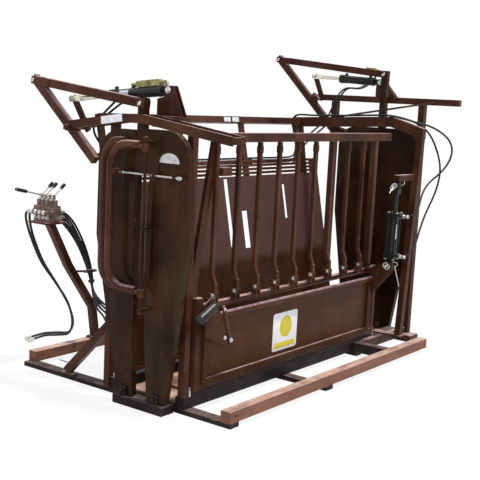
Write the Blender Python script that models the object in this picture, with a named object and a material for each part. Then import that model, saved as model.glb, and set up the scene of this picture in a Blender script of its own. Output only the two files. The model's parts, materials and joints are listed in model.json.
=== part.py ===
"""Hydraulic calf chute: steel squeeze chute with a head gate, a tail gate and a valve stand.

Metres, +Z up. The head gate end is -X and the tail gate end is +X. The near, squeezing side is -Y
and the side with the operator's valve stand is +Y. The origin lies on the ground, on the centre line
of the chute.
"""
import bpy
import bmesh
import math
from mathutils import Matrix, Vector

# Driving dimensions of the base
TUBE = 0.064
CROSS_HEIGHT = 0.028
CROSS_WIDTH = 0.076
FRONT_CROSS_X = -1.225
MIDDLE_CROSS_X = -0.290
REAR_CROSS_X = 0.540
SKID_REAR = 1.030
NEAR_SKID_FRONT = -1.230
NEAR_SKID_OUTER = -0.597
FAR_SKID_FRONT = -1.185
FAR_SKID_OUTER = 1.024
SILL_INNER = 0.215
SILL_OUTER = 0.279
SILL_REAR = 1.165

# Driving dimensions of the sides
SIDE_HINGE_Y = 0.205
SIDE_HINGE_Z = 0.130
NEAR_HINGE_Y = -0.262
FAR_SLANT = math.radians(11.7)
SIDE_FRONT = -1.165
TOP_RAIL_FRONT = -1.055
TOP_RAIL_REAR = 0.850
SIDE_REAR = 0.800
PANEL_REAR = 0.690
HINGE_RAIL_TOP = 0.463
SIDE_TOP = 1.385
BAR_COUNT = 9
BAR_FIRST_X = -1.032
BAR_PITCH = 0.1944
BAR_PIN_RISE = 0.045

# Planes of the two gates, along X
HEAD_X = -1.290
TAIL_X = 1.218

# Layers of the gate linkage, measured from the gate's own plane
CORE = 0.019
EAR_IN = 0.0205
EAR_OUT = 0.0265
CYLINDER_OFFSET = 0.090

# Points of the two gate linkages, in Y and Z
HEAD_PLACES = {"pivot": (0.546, 1.497), "top": (0.872, 1.748), "foot": (0.396, 1.340),
               "arm_pin": (0.028, 1.650), "far_pin": (0.270, 1.370), "crank": (0.653, 1.653),
               "cylinder_foot": (-0.080, 1.727)}
TAIL_PLACES = {"pivot": (0.575, 1.742), "top": (0.920, 2.018), "foot": (0.413, 1.520),
               "arm_pin": (-0.018, 1.925), "far_pin": (0.280, 1.490), "crank": (0.642, 1.900),
               "cylinder_foot": (0.060, 1.870)}
# Lock valve of each gate cylinder: where its body starts and ends along the barrel, and its height
HEAD_VALVE = (0.075, 0.235, 0.0463)
TAIL_VALVE = (0.065, 0.135, 0.0835)
BARREL_RADIUS = 0.029

# Squeeze cylinder
SQUEEZE_X = 0.720
SQUEEZE_TOP = (-0.440, 1.180)
SQUEEZE_LOW = (-0.430, 0.620)

# Valve stand
STAND_Y = 0.992
BANK_BASE = 0.8975
SECTION = 0.036

# Hoses
HOSE_RADIUS = 0.0065
HOSE_SPACING = 0.065
SUPPLY_RADIUS = 0.008
SUPPLY_SPACING = 0.040
BULKHEAD_X = -1.060
BULKHEAD_PITCH = 0.045
BULKHEAD_LOW = 0.200
BULKHEAD_HIGH = 0.300

SHEET = 0.004
GAP = 0.0003
FRAME_TOP = CROSS_HEIGHT + GAP + TUBE

PAINT = (0.085, 0.030, 0.022)
RUSTED = (0.33, 0.14, 0.09)
DARK = (0.045, 0.018, 0.014)
BLACK = (0.012, 0.012, 0.013)
ZINC = (0.62, 0.60, 0.55)
CHROME = (0.80, 0.78, 0.70)
OLIVE = (0.36, 0.34, 0.07)
RUBBER = (0.010, 0.010, 0.011)


def clear_scene():
    for old in list(bpy.data.objects):
        bpy.data.objects.remove(old, do_unlink=True)


def finish(name, colour, roughness, metallic):
    material = bpy.data.materials.new(name)
    material.use_nodes = True
    shader = material.node_tree.nodes["Principled BSDF"]
    shader.inputs["Base Color"].default_value = (*colour, 1.0)
    shader.inputs["Roughness"].default_value = roughness
    shader.inputs["Metallic"].default_value = metallic
    return material


# Shapes. Each is a bmesh in world coordinates.

def box(low, high):
    shape = bmesh.new()
    bmesh.ops.create_cube(shape, size=1.0)
    low = Vector(low)
    high = Vector(high)
    for vertex in shape.verts:
        vertex.co = low + (vertex.co + Vector((0.5, 0.5, 0.5))) * (high - low)
    return shape


def plate(outline, x0, x1):
    """A flat plate whose outline lies in Y and Z and whose thickness runs from x0 to x1."""
    shape = bmesh.new()
    face = shape.faces.new([shape.verts.new((x0, y, z)) for y, z in outline])
    made = bmesh.ops.extrude_face_region(shape, geom=[face])
    moved = [item for item in made["geom"] if isinstance(item, bmesh.types.BMVert)]
    bmesh.ops.translate(shape, vec=(x1 - x0, 0, 0), verts=moved)
    bmesh.ops.recalc_face_normals(shape, faces=shape.faces)
    return shape


def plate_xz(outline, y0, y1):
    """A flat plate whose outline lies in X and Z and whose thickness runs from y0 to y1."""
    shape = plate([(x, z) for x, z in outline], y0, y1)
    for vertex in shape.verts:
        vertex.co = Vector((vertex.co.y, vertex.co.x, vertex.co.z))
    bmesh.ops.recalc_face_normals(shape, faces=shape.faces)
    return shape


def bar(start, end, width, depth, side=(1, 0, 0)):
    """A rectangular bar from start to end. Its width runs along side, its depth square to both."""
    start = Vector(start)
    end = Vector(end)
    along = end - start
    length = along.length
    along.normalize()
    across = Vector(side)
    across = (across - along * across.dot(along)).normalized()
    other = along.cross(across)
    shape = box((-width / 2, -depth / 2, 0), (width / 2, depth / 2, length))
    turn = Matrix((across, other, along)).transposed().to_4x4()
    bmesh.ops.transform(shape, matrix=Matrix.Translation(start) @ turn, verts=shape.verts)
    bmesh.ops.recalc_face_normals(shape, faces=shape.faces)
    return shape


def rod(start, end, radius, sides=12, end_radius=None):
    start = Vector(start)
    end = Vector(end)
    along = end - start
    shape = bmesh.new()
    second = radius if end_radius is None else end_radius
    bmesh.ops.create_cone(shape, cap_ends=True, segments=sides, radius1=radius, radius2=second,
                          depth=along.length)
    turn = along.to_track_quat("Z", "Y").to_matrix().to_4x4()
    place = Matrix.Translation((start + end) / 2) @ turn
    bmesh.ops.transform(shape, matrix=place, verts=shape.verts)
    return shape


def bolt_head(centre, axis, radius, height):
    """A hexagonal bolt head that stands on centre and rises along axis."""
    centre = Vector(centre)
    return rod(centre, centre + Vector(axis).normalized() * height, radius, 6)


def arc(centre, radius, start_deg, end_deg, steps):
    points = []
    for step in range(steps + 1):
        angle = math.radians(start_deg + (end_deg - start_deg) * step / steps)
        points.append((centre[0] + radius * math.cos(angle), centre[1] + radius * math.sin(angle)))
    return points


def round_ring(centre, axis, radius, thickness, steps=16, sides=6):
    """A closed ring of round wire, such as a towing eye or a hitch pin's ring."""
    shape = bmesh.new()
    rings = []
    for step in range(steps):
        angle = 2 * math.pi * step / steps
        ring = []
        for side in range(sides):
            turn = 2 * math.pi * side / sides
            reach = radius + thickness * math.cos(turn)
            point = (reach * math.cos(angle), reach * math.sin(angle), thickness * math.sin(turn))
            ring.append(shape.verts.new(point))
        rings.append(ring)
    for step in range(steps):
        ring = rings[step]
        following = rings[(step + 1) % steps]
        for side in range(sides):
            second = (side + 1) % sides
            shape.faces.new((ring[side], following[side], following[second], ring[second]))
    turn = Vector(axis).to_track_quat("Z", "Y").to_matrix().to_4x4()
    bmesh.ops.transform(shape, matrix=Matrix.Translation(centre) @ turn, verts=shape.verts)
    bmesh.ops.recalc_face_normals(shape, faces=shape.faces)
    return shape


def moved(shape, matrix):
    bmesh.ops.transform(shape, matrix=matrix, verts=shape.verts)
    return shape


def dished(outline, x_front, x_back, wall):
    """A sheet with its whole rim folded back: a flat pan, open at the back."""
    shape = plate(outline, x_front, x_back)
    back = max(shape.faces, key=lambda face: face.calc_center_median().x)
    bmesh.ops.inset_region(shape, faces=[back], thickness=wall, use_even_offset=True)
    bmesh.ops.translate(shape, vec=(x_front + wall - x_back, 0, 0), verts=back.verts)
    bmesh.ops.recalc_face_normals(shape, faces=shape.faces)
    return shape


# Nodes

def as_object(name, shape, colour_material):
    mesh = bpy.data.meshes.new(name)
    shape.to_mesh(mesh)
    shape.free()
    made = bpy.data.objects.new(name, mesh)
    bpy.context.scene.collection.objects.link(made)
    if colour_material:
        mesh.materials.append(colour_material)
    return made


def boolean_step(body, shapes, operation):
    """Welds the shapes to the body, or cuts them out of it, and keeps the result as plain mesh."""
    group = bpy.data.collections.new("step")
    bpy.context.scene.collection.children.link(group)
    helpers = []
    for shape in shapes:
        helper = as_object("helper", shape, None)
        bpy.context.scene.collection.objects.unlink(helper)
        group.objects.link(helper)
        helpers.append(helper)
    step = body.modifiers.new("step", "BOOLEAN")
    step.operation = operation
    step.solver = "EXACT"
    step.operand_type = "COLLECTION"
    step.collection = group
    graph = bpy.context.evaluated_depsgraph_get()
    result = bpy.data.meshes.new_from_object(body.evaluated_get(graph))
    body.modifiers.clear()
    old = body.data
    body.data = result
    bpy.data.meshes.remove(old)
    for helper in helpers:
        mesh = helper.data
        bpy.data.objects.remove(helper, do_unlink=True)
        bpy.data.meshes.remove(mesh)
    bpy.data.collections.remove(group)


def tidy_mesh(body):
    shape = bmesh.new()
    shape.from_mesh(body.data)
    bmesh.ops.remove_doubles(shape, verts=shape.verts, dist=0.00001)
    bmesh.ops.dissolve_degenerate(shape, dist=0.00001, edges=shape.edges)
    shape.to_mesh(body.data)
    shape.free()


def node(name, shapes, material, cuts=(), pivot=(0, 0, 0), smooth=False):
    """One named sub-part: its shapes welded together, its cuts taken out, its origin at pivot."""
    body = as_object(name, shapes[0], material)
    if len(shapes) > 1:
        boolean_step(body, shapes[1:], "UNION")
    if cuts:
        boolean_step(body, list(cuts), "DIFFERENCE")
    tidy_mesh(body)
    body.data.materials.clear()
    body.data.materials.append(material)
    body.data.transform(Matrix.Translation(-Vector(pivot)))
    body.location = pivot
    if smooth:
        body.data.shade_smooth()
        body.data.set_sharp_from_angle(angle=math.radians(35))
    return body


def smooth_route(points, spacing):
    """Reads points at an even spacing from the smooth curve that passes through the route's points."""
    route = [Vector(point) for point in points]
    fine = []
    for index in range(len(route) - 1):
        before = route[max(index - 1, 0)]
        first = route[index]
        second = route[index + 1]
        after = route[min(index + 2, len(route) - 1)]
        for step in range(24):
            t = step / 24
            bend = (2 * first + (second - before) * t
                    + (2 * before - 5 * first + 4 * second - after) * t ** 2
                    + (3 * first - before - 3 * second + after) * t ** 3) / 2
            fine.append(bend)
    fine.append(route[-1])
    total = sum((fine[i + 1] - fine[i]).length for i in range(len(fine) - 1))
    count = max(2, round(total / spacing))
    result = [fine[0]]
    wanted = total / count
    travelled = 0.0
    for i in range(len(fine) - 1):
        stretch = (fine[i + 1] - fine[i]).length
        while travelled + stretch >= wanted * len(result) and len(result) < count:
            share = (wanted * len(result) - travelled) / stretch
            result.append(fine[i].lerp(fine[i + 1], share))
        travelled += stretch
    result.append(fine[-1])
    # A short straight run at each end keeps the end square to what it meets.
    result.insert(1, route[0] + (route[1] - route[0]).normalized() * 0.014)
    result.insert(-1, route[-1] + (route[-2] - route[-1]).normalized() * 0.014)
    return result


def hose_curve(name, route, radius, resolution, spacing):
    """A round curve with closed ends along the smooth line through a route, as an object."""
    curve = bpy.data.curves.new(name, "CURVE")
    curve.dimensions = "3D"
    curve.bevel_depth = radius
    curve.bevel_resolution = resolution
    curve.use_fill_caps = True
    points = smooth_route(route, spacing)
    spline = curve.splines.new("POLY")
    spline.points.add(len(points) - 1)
    for place, point in zip(spline.points, points):
        place.co = (*point, 1.0)
    made = bpy.data.objects.new(name, curve)
    bpy.context.scene.collection.objects.link(made)
    return made


def held_hose(route):
    """A held hose, six-sided, as a shape to be joined with its neighbours."""
    helper = hose_curve("route", route, HOSE_RADIUS, 1, HOSE_SPACING)
    curve = helper.data
    mesh = bpy.data.meshes.new_from_object(helper.evaluated_get(bpy.context.evaluated_depsgraph_get()))
    shape = bmesh.new()
    shape.from_mesh(mesh)
    bmesh.ops.remove_doubles(shape, verts=shape.verts, dist=0.00001)
    bmesh.ops.recalc_face_normals(shape, faces=shape.faces)
    bpy.data.objects.remove(helper, do_unlink=True)
    bpy.data.curves.remove(curve)
    bpy.data.meshes.remove(mesh)
    return shape


def hose_group(name, routes, material, ties):
    """A bundle of held hoses with the ties that keep them together."""
    node(name, [held_hose(route) for route in routes] + ties, material, smooth=True)


def free_hose(name, route, material):
    """A loose hose, kept as a curve with a closed end."""
    made = hose_curve(name, route, SUPPLY_RADIUS, 2, SUPPLY_SPACING)
    made.data.materials.append(material)


# Base

def build_base(finishes):
    hole = 0.009

    def skid(name, front, outer, inward):
        low, high = sorted((outer, outer + inward * TUBE))
        floor = CROSS_HEIGHT + GAP
        cuts = []
        for x in (front + 0.055, SKID_REAR - 0.035):
            height = floor + TUBE / 2
            cuts.append(rod((x, low - 0.01, height), (x, high + 0.01, height), hole, 10))
        node(name, [box((front, low, floor), (SKID_REAR, high, FRAME_TOP))], finishes["rusted"], cuts)

    skid("near_skid", NEAR_SKID_FRONT, NEAR_SKID_OUTER, 1)
    skid("far_skid", FAR_SKID_FRONT, FAR_SKID_OUTER, -1)

    members = []
    for x in (FRONT_CROSS_X, MIDDLE_CROSS_X):
        members.append(box((x, NEAR_SKID_OUTER, 0), (x + CROSS_WIDTH, FAR_SKID_OUTER, CROSS_HEIGHT)))
    reach = SILL_OUTER + 0.040
    members.append(box((REAR_CROSS_X, -reach, 0), (REAR_CROSS_X + TUBE, reach, CROSS_HEIGHT)))
    members.append(box((FRONT_CROSS_X + 0.010, -0.025, 0), (1.1695, 0.025, CROSS_HEIGHT - 0.001)))
    for start, end in ((NEAR_SKID_OUTER + TUBE, -SILL_OUTER), (SILL_OUTER, FAR_SKID_OUTER - TUBE)):
        members.append(box((REAR_CROSS_X, start + GAP, CROSS_HEIGHT - 0.002),
                           (REAR_CROSS_X + TUBE, end - GAP, FRAME_TOP)))
    node("cross_members", members, finishes["dark"])

    rails = []
    for side in (-1, 1):
        low, high = sorted((side * SILL_INNER, side * SILL_OUTER))
        rails.append(box((FRONT_CROSS_X, low, CROSS_HEIGHT + GAP), (SILL_REAR, high, FRAME_TOP)))
    rails.append(box((FRONT_CROSS_X + 0.001, -0.230, CROSS_HEIGHT + GAP), (-1.192, 0.230, 0.050)))
    node("sill_rails", rails, finishes["dark"])

    pan_top = CROSS_HEIGHT + 0.005
    pan = [box((-1.19, -0.210, CROSS_HEIGHT + GAP), (1.16, 0.210, pan_top))]
    for cleat in range(6):
        x = -0.98 + cleat * 0.38
        pan.append(box((x, -0.19, pan_top - 0.002), (x + 0.03, 0.19, pan_top + 0.015)))
    node("floor_pan", pan, finishes["rusted"])


# Frames that carry the two gates

def sill_lugs(x0, pivots):
    """The lugs on a gate's sill and the pins on which the two halves of the gate turn."""
    shapes = []
    for pivot_y in pivots:
        for side in (-1, 1):
            front, back = sorted((x0 + side * 0.024, x0 + side * 0.034))
            shapes.append(box((front, pivot_y - 0.022, 0.045), (back, pivot_y + 0.022, 0.100)))
        shapes.append(rod((x0 - 0.042, pivot_y, 0.075), (x0 + 0.042, pivot_y, 0.075), 0.008))
    return shapes


def cylinder_bracket(outline, layer, foot):
    """Two cheek plates and the pin on which a gate's cylinder hangs."""
    shapes = []
    for side in (-1, 1):
        front, back = sorted((layer + side * 0.0115, layer + side * 0.0185))
        shapes.append(plate(outline, front, back))
    shapes.append(rod((layer - 0.026, *foot), (layer + 0.026, *foot), 0.010))
    return shapes


def head_frame(finishes):
    x0 = HEAD_X
    sill = [box((x0 - 0.045, -0.215, 0), (FRONT_CROSS_X - 0.011, 0.150, 0.048))]
    sill.append(box((FRONT_CROSS_X - 0.012, -0.200, 0), (FRONT_CROSS_X - GAP, 0.135, 0.027)))
    sill += sill_lugs(x0, (-0.145, 0.088))
    node("head_gate_sill", sill, finishes["dark"])

    top = [(0.585, 1.527), (0.150, 1.592), (-0.020, 1.594), (-0.612, 1.515)]
    depth = 0.047
    outline = top + [(y, z - depth) for y, z in reversed(top)]
    front = x0 + 0.053
    back = front + 0.042
    middle = (front + back) / 2
    shapes = [box((front, -SILL_OUTER, FRAME_TOP + GAP), (back, -SILL_OUTER + 0.040, 1.520))]
    shapes.append(box((front, SILL_OUTER + 0.001, CROSS_HEIGHT + GAP), (back, SILL_OUTER + 0.041, 1.530)))
    shapes.append(bar((middle, 0.640, 0.050), (middle, 0.295, 0.400), 0.036, 0.050))
    shapes.append(box((front, 0.575, CROSS_HEIGHT + GAP), (back, 0.690, CROSS_HEIGHT + 0.012)))
    for low, high in ((x0 - 0.055, x0 - 0.043), (x0 + 0.043, x0 + 0.055)):
        shapes.append(plate(outline, low, high))
    shapes.append(box((x0 - 0.050, -0.612, 1.475), (x0 + 0.050, -0.587, 1.511)))
    layer = x0 + CYLINDER_OFFSET
    shapes.append(box((x0 + 0.050, -0.190, 1.575), (layer + 0.026, 0.005, 1.587)))
    shapes.append(box((x0 + 0.045, -0.190, 1.530), (x0 + 0.053, 0.005, 1.580)))
    cheek = [(0.000, 1.583), (0.000, 1.680), (-0.045, 1.690), (-0.050, 1.750), (-0.110, 1.750),
             (-0.185, 1.583)]
    shapes += cylinder_bracket(cheek, layer, HEAD_PLACES["cylinder_foot"])
    pivot = HEAD_PLACES["pivot"]
    cuts = [rod((x0 - 0.07, *pivot), (x0 + 0.07, *pivot), 0.0175, 14)]
    node("head_arch_frame", shapes, finishes["paint"], cuts)


def tail_frame(finishes):
    x0 = TAIL_X
    sill = [box((1.170, -0.400, 0), (1.290, 0.450, 0.048))]
    sill += sill_lugs(x0, (-0.110, 0.110))
    for side in (-1, 1):
        low, high = sorted((side * (SILL_OUTER + GAP), side * (SILL_OUTER + 0.040)))
        sill.append(box((REAR_CROSS_X + TUBE + GAP, low, CROSS_HEIGHT + GAP),
                        (1.235, high, FRAME_TOP - 0.001)))
    tube_low = 1.7197
    tube_high = 1.765
    front = 1.2455
    back = 1.290
    for low, high in ((-0.335, -0.285), (0.395, 0.445)):
        sill.append(box((front, low, 0.040), (back, high, tube_low - GAP)))
    node("tail_gate_frame", sill, finishes["paint"])

    layer = x0 + CYLINDER_OFFSET
    shapes = [box((front, -0.594, tube_low), (back, 0.602, tube_high))]
    shapes.append(box((back - 0.010, -0.090, 1.745), (layer + 0.026, 0.100, 1.757)))
    cheek = [(0.095, 1.752), (0.095, 1.835), (0.085, 1.893), (0.040, 1.893), (-0.090, 1.752)]
    shapes += cylinder_bracket(cheek, layer, TAIL_PLACES["cylinder_foot"])
    pivot = TAIL_PLACES["pivot"]
    cuts = [rod((front - 0.01, *pivot), (back + 0.01, *pivot), 0.0175, 14)]
    node("tail_top_tube", shapes, finishes["paint"], cuts)


def rear_hoop(finishes):
    """The hoop behind the sides, with its brace to the tail gate and the squeeze cylinder's arm."""
    front, back = 0.915, 0.965
    middle = (front + back) / 2
    top = [(0.560, 1.585), (-0.250, 1.628), (-0.500, 1.560)]
    depth = 0.070
    foot_low = FRAME_TOP + GAP
    foot_high = foot_low + 0.010
    shapes = [plate(top + [(y, z - depth) for y, z in reversed(top)], front, back)]
    shapes.append(bar((middle, -0.478, 1.530), (middle, -0.4165, foot_low + 0.004), 0.044, 0.044))
    shapes.append(bar((middle, 0.529, 1.560), (middle, 0.300, foot_low + 0.006), 0.044, 0.044))
    shapes.append(box((0.905, -0.450, foot_low), (0.975, -0.225, foot_high)))
    shapes.append(box((0.905, 0.225, foot_low), (0.975, 0.345, foot_high)))
    shapes.append(bar((middle, 0.230, 1.600), (1.2362, -0.420, 1.742), 0.014, 0.018, (0, 0, 1)))
    y, z = SQUEEZE_TOP
    shapes.append(box((SQUEEZE_X - 0.020, y - 0.022, z + 0.025), (front + 0.010, y + 0.022, z + 0.065)))
    shapes.append(box((SQUEEZE_X - 0.009, y - 0.022, z - 0.025), (SQUEEZE_X + 0.009, y + 0.022, z + 0.028)))
    shapes.append(rod((SQUEEZE_X - 0.027, y, z), (SQUEEZE_X + 0.027, y, z), 0.008, 10))
    node("rear_hoop", shapes, finishes["paint"])


# Gates

def gate_half(name, outline, x0, pivot_y, material, extra=(), holes=()):
    """One half of a gate: a sheet with a folded rim, hung on a pin at its foot."""
    shapes = [dished(outline, x0 - 0.020, x0 + 0.020, SHEET)]
    shapes.append(box((x0 - 0.018, pivot_y - 0.020, 0.0565), (x0 + 0.018, pivot_y + 0.020, 0.110)))
    shapes.extend(extra)
    cut = rod((x0 - 0.030, pivot_y, 0.075), (x0 + 0.030, pivot_y, 0.075), 0.0100, 12)
    node(name, shapes, material, [cut, *holes], (x0, pivot_y, 0.075))


def tube_path(points, radius, sides=10):
    """A round tube bent through the given points, swept as one closed shape."""
    shape = bmesh.new()
    path = [Vector(point) for point in points]
    rings = []
    for index, point in enumerate(path):
        before = path[max(index - 1, 0)]
        after = path[min(index + 1, len(path) - 1)]
        along = (after - before).normalized()
        across = Vector((1, 0, 0))
        other = along.cross(across).normalized()
        ring = []
        for side in range(sides):
            turn = 2 * math.pi * side / sides
            offset = across * math.cos(turn) + other * math.sin(turn)
            ring.append(shape.verts.new(point + offset * radius))
        rings.append(ring)
    for ring, following in zip(rings, rings[1:]):
        for side in range(sides):
            second = (side + 1) % sides
            shape.faces.new((ring[side], ring[second], following[second], following[side]))
    shape.faces.new(list(reversed(rings[0])))
    shape.faces.new(rings[-1])
    bmesh.ops.recalc_face_normals(shape, faces=shape.faces)
    return shape


def c_bar(x, side_y, end_y, top_z, bottom_z, radius, corner):
    """The round tube of a neck bar: across at the top, down the side, and back at the bottom."""
    upper = arc((side_y - corner, top_z - corner), corner, 90, 0, 6)
    lower = arc((side_y - corner, bottom_z + corner), corner, 0, -90, 6)
    points = [(end_y, top_z)] + upper + lower + [(end_y, bottom_z)]
    return tube_path([(x, y, z) for y, z in points], radius)


def at(point, x):
    return (x, point.y, point.z)


def cylinder_line(places):
    """The foot, the direction, the upward direction and the length of a gate's cylinder."""
    foot = Vector((0, *places["cylinder_foot"]))
    crank = Vector((0, *places["crank"]))
    push = (crank - foot).normalized()
    return foot, push, Vector((0, -push.z, push.y)), (crank - foot).length


def valve_ports(x0, places, valve):
    """The two places on a lock valve's back where its hoses screw in."""
    foot, push, up, _ = cylinder_line(places)
    start, end, rise = valve
    x = x0 + CYLINDER_OFFSET + 0.040
    return [Vector(at(foot + push * along + up * rise, x)) for along in (start + 0.018, end - 0.018)]


def pin_hole(x0, place):
    return rod((x0 - 0.024, *place), (x0 + 0.024, *place), 0.0095, 10)


def linkage(prefix, x0, places, valve, ears, finishes):
    """The equalising lever of a gate with its long and short link and its cylinder.

    The short link has a plate on each of the named sides of the gate.
    """
    pivot, top, foot, arm_pin, far_pin, crank = [
        Vector((0, *places[key])) for key in ("pivot", "top", "foot", "arm_pin", "far_pin", "crank")]
    paint = finishes["paint"]

    layer = x0 + CYLINDER_OFFSET
    along = (top - foot).normalized()
    lever = [bar(at(foot - along * 0.026, x0), at(top + along * 0.026, x0), CORE * 2, 0.048)]
    lever.append(rod(at(pivot, x0 - 0.064), at(pivot, layer + 0.012), 0.0150, 14))
    nearest = foot + along * (pivot - foot).dot(along)
    lever.append(bar(at(nearest, x0), at(pivot + (pivot - nearest).normalized() * 0.016, x0), 0.036, 0.060))
    arm = (crank - pivot).normalized()
    lever.append(bar(at(pivot - arm * 0.024, layer), at(crank + arm * 0.016, layer), 0.016, 0.036))
    node(prefix + "_lever", lever, paint, pivot=(x0, pivot.y, pivot.z))

    reach = (arm_pin - top).normalized()
    long_link = [bar(at(top + reach * 0.085, x0), at(arm_pin - reach * 0.045, x0), CORE * 2, 0.048)]
    ear = EAR_OUT - EAR_IN
    for side in (-1, 1):
        middle = x0 + side * (EAR_IN + EAR_OUT) / 2
        for first, last in ((top - reach * 0.022, top + reach * 0.125),
                            (arm_pin - reach * 0.085, arm_pin + reach * 0.022)):
            long_link.append(bar(at(first, middle), at(last, middle), ear, 0.044))
        for first, last in ((top + reach * 0.090, top + reach * 0.120),
                            (arm_pin - reach * 0.080, arm_pin - reach * 0.050)):
            long_link.append(bar(at(first, x0 + side * CORE), at(last, x0 + side * CORE), 0.010, 0.040))
        for pin in (top, arm_pin):
            long_link.append(bolt_head(at(pin, x0 + side * (EAR_OUT - 0.001)), (side, 0, 0), 0.013, 0.009))
    node(prefix + "_long_link", long_link, paint, pivot=(x0, top.y, top.z))

    stretch = (far_pin - foot).normalized()
    pin_front = x0 - EAR_OUT if len(ears) > 1 else x0 - CORE + 0.001
    short_link = [rod(at(far_pin, pin_front), at(far_pin, x0 + EAR_OUT), 0.0080, 10)]
    for side in ears:
        middle = x0 + side * (EAR_IN + EAR_OUT) / 2
        short_link.append(bar(at(foot - stretch * 0.020, middle), at(far_pin + stretch * 0.020, middle),
                              ear, 0.038))
    for pin in (foot, far_pin):
        short_link.append(bolt_head(at(pin, x0 + ears[0] * (EAR_OUT - 0.001)), (ears[0], 0, 0), 0.011, 0.008))
    node(prefix + "_short_link", short_link, paint, pivot=(x0, far_pin.y, far_pin.z))

    gate_cylinder(prefix, layer, places, valve, finishes)


def gate_cylinder(prefix, layer, places, valve, finishes):
    """The barrel, the lock valve and the rod of a gate's cylinder."""
    foot, push, up, length = cylinder_line(places)
    crank = foot + push * length
    start = 0.055
    end = length * 0.60
    barrel = [rod(at(foot + push * start, layer), at(foot + push * end, layer), BARREL_RADIUS, 18)]
    barrel.append(rod(at(foot + push * (end - 0.030), layer), at(foot + push * (end + 0.004), layer),
                      BARREL_RADIUS + 0.004, 18))
    barrel.append(bar(at(foot - push * 0.020, layer), at(foot + push * (start + 0.010), layer), 0.020, 0.040))
    port = foot + push * (end - 0.045)
    barrel.append(rod(at(port, layer), at(port + up * 0.046, layer), 0.011, 10))
    valve_start, valve_end, rise = valve
    riser_top = rise - 0.017 - GAP
    if riser_top > BARREL_RADIUS + 0.001:
        riser = foot + push * (valve_start + valve_end) / 2
        barrel.append(rod(at(riser, layer), at(riser + up * riser_top, layer), 0.011, 10))
    bore = rod(at(foot + push * (start + 0.020), layer), at(foot + push * (end + 0.02), layer), 0.0170, 14)
    eye = rod(at(foot, layer - 0.03), at(foot, layer + 0.03), 0.0115, 12)
    node(prefix + "_cylinder_barrel", barrel, finishes["black"], [eye, bore], (layer, foot.y, foot.z))

    centre = foot + up * rise
    body = [bar(at(centre + push * valve_start, layer), at(centre + push * valve_end, layer), 0.036, 0.034)]
    for first, last in ((valve_start - 0.040, valve_start + 0.010), (valve_end - 0.010, valve_end + 0.045)):
        body.append(rod(at(centre + push * first, layer), at(centre + push * last, layer), 0.010, 8))
    for along in (valve_start + 0.018, valve_end - 0.018):
        spot = centre + push * along
        body.append(rod(at(spot, layer + 0.015), at(spot, layer + 0.040 - GAP), 0.0090, 8))
    node(prefix + "_lock_valve", body, finishes["zinc"])

    inside = end - 0.125
    slide = [rod(at(foot + push * inside, layer), at(crank - push * 0.045, layer), 0.0145, 14)]
    slide.append(bar(at(crank - push * 0.066, layer), at(crank - push * 0.038, layer), 0.044, 0.034))
    for side in (-1, 1):
        middle = layer + side * 0.0155
        slide.append(bar(at(crank - push * 0.050, middle), at(crank + push * 0.018, middle), 0.013, 0.034))
        slide.append(rod(at(crank, layer + side * 0.020), at(crank, layer + side * 0.030), 0.010, 10))
    node(prefix + "_cylinder_rod", slide, finishes["chrome"], pivot=at(crank, layer))


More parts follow.
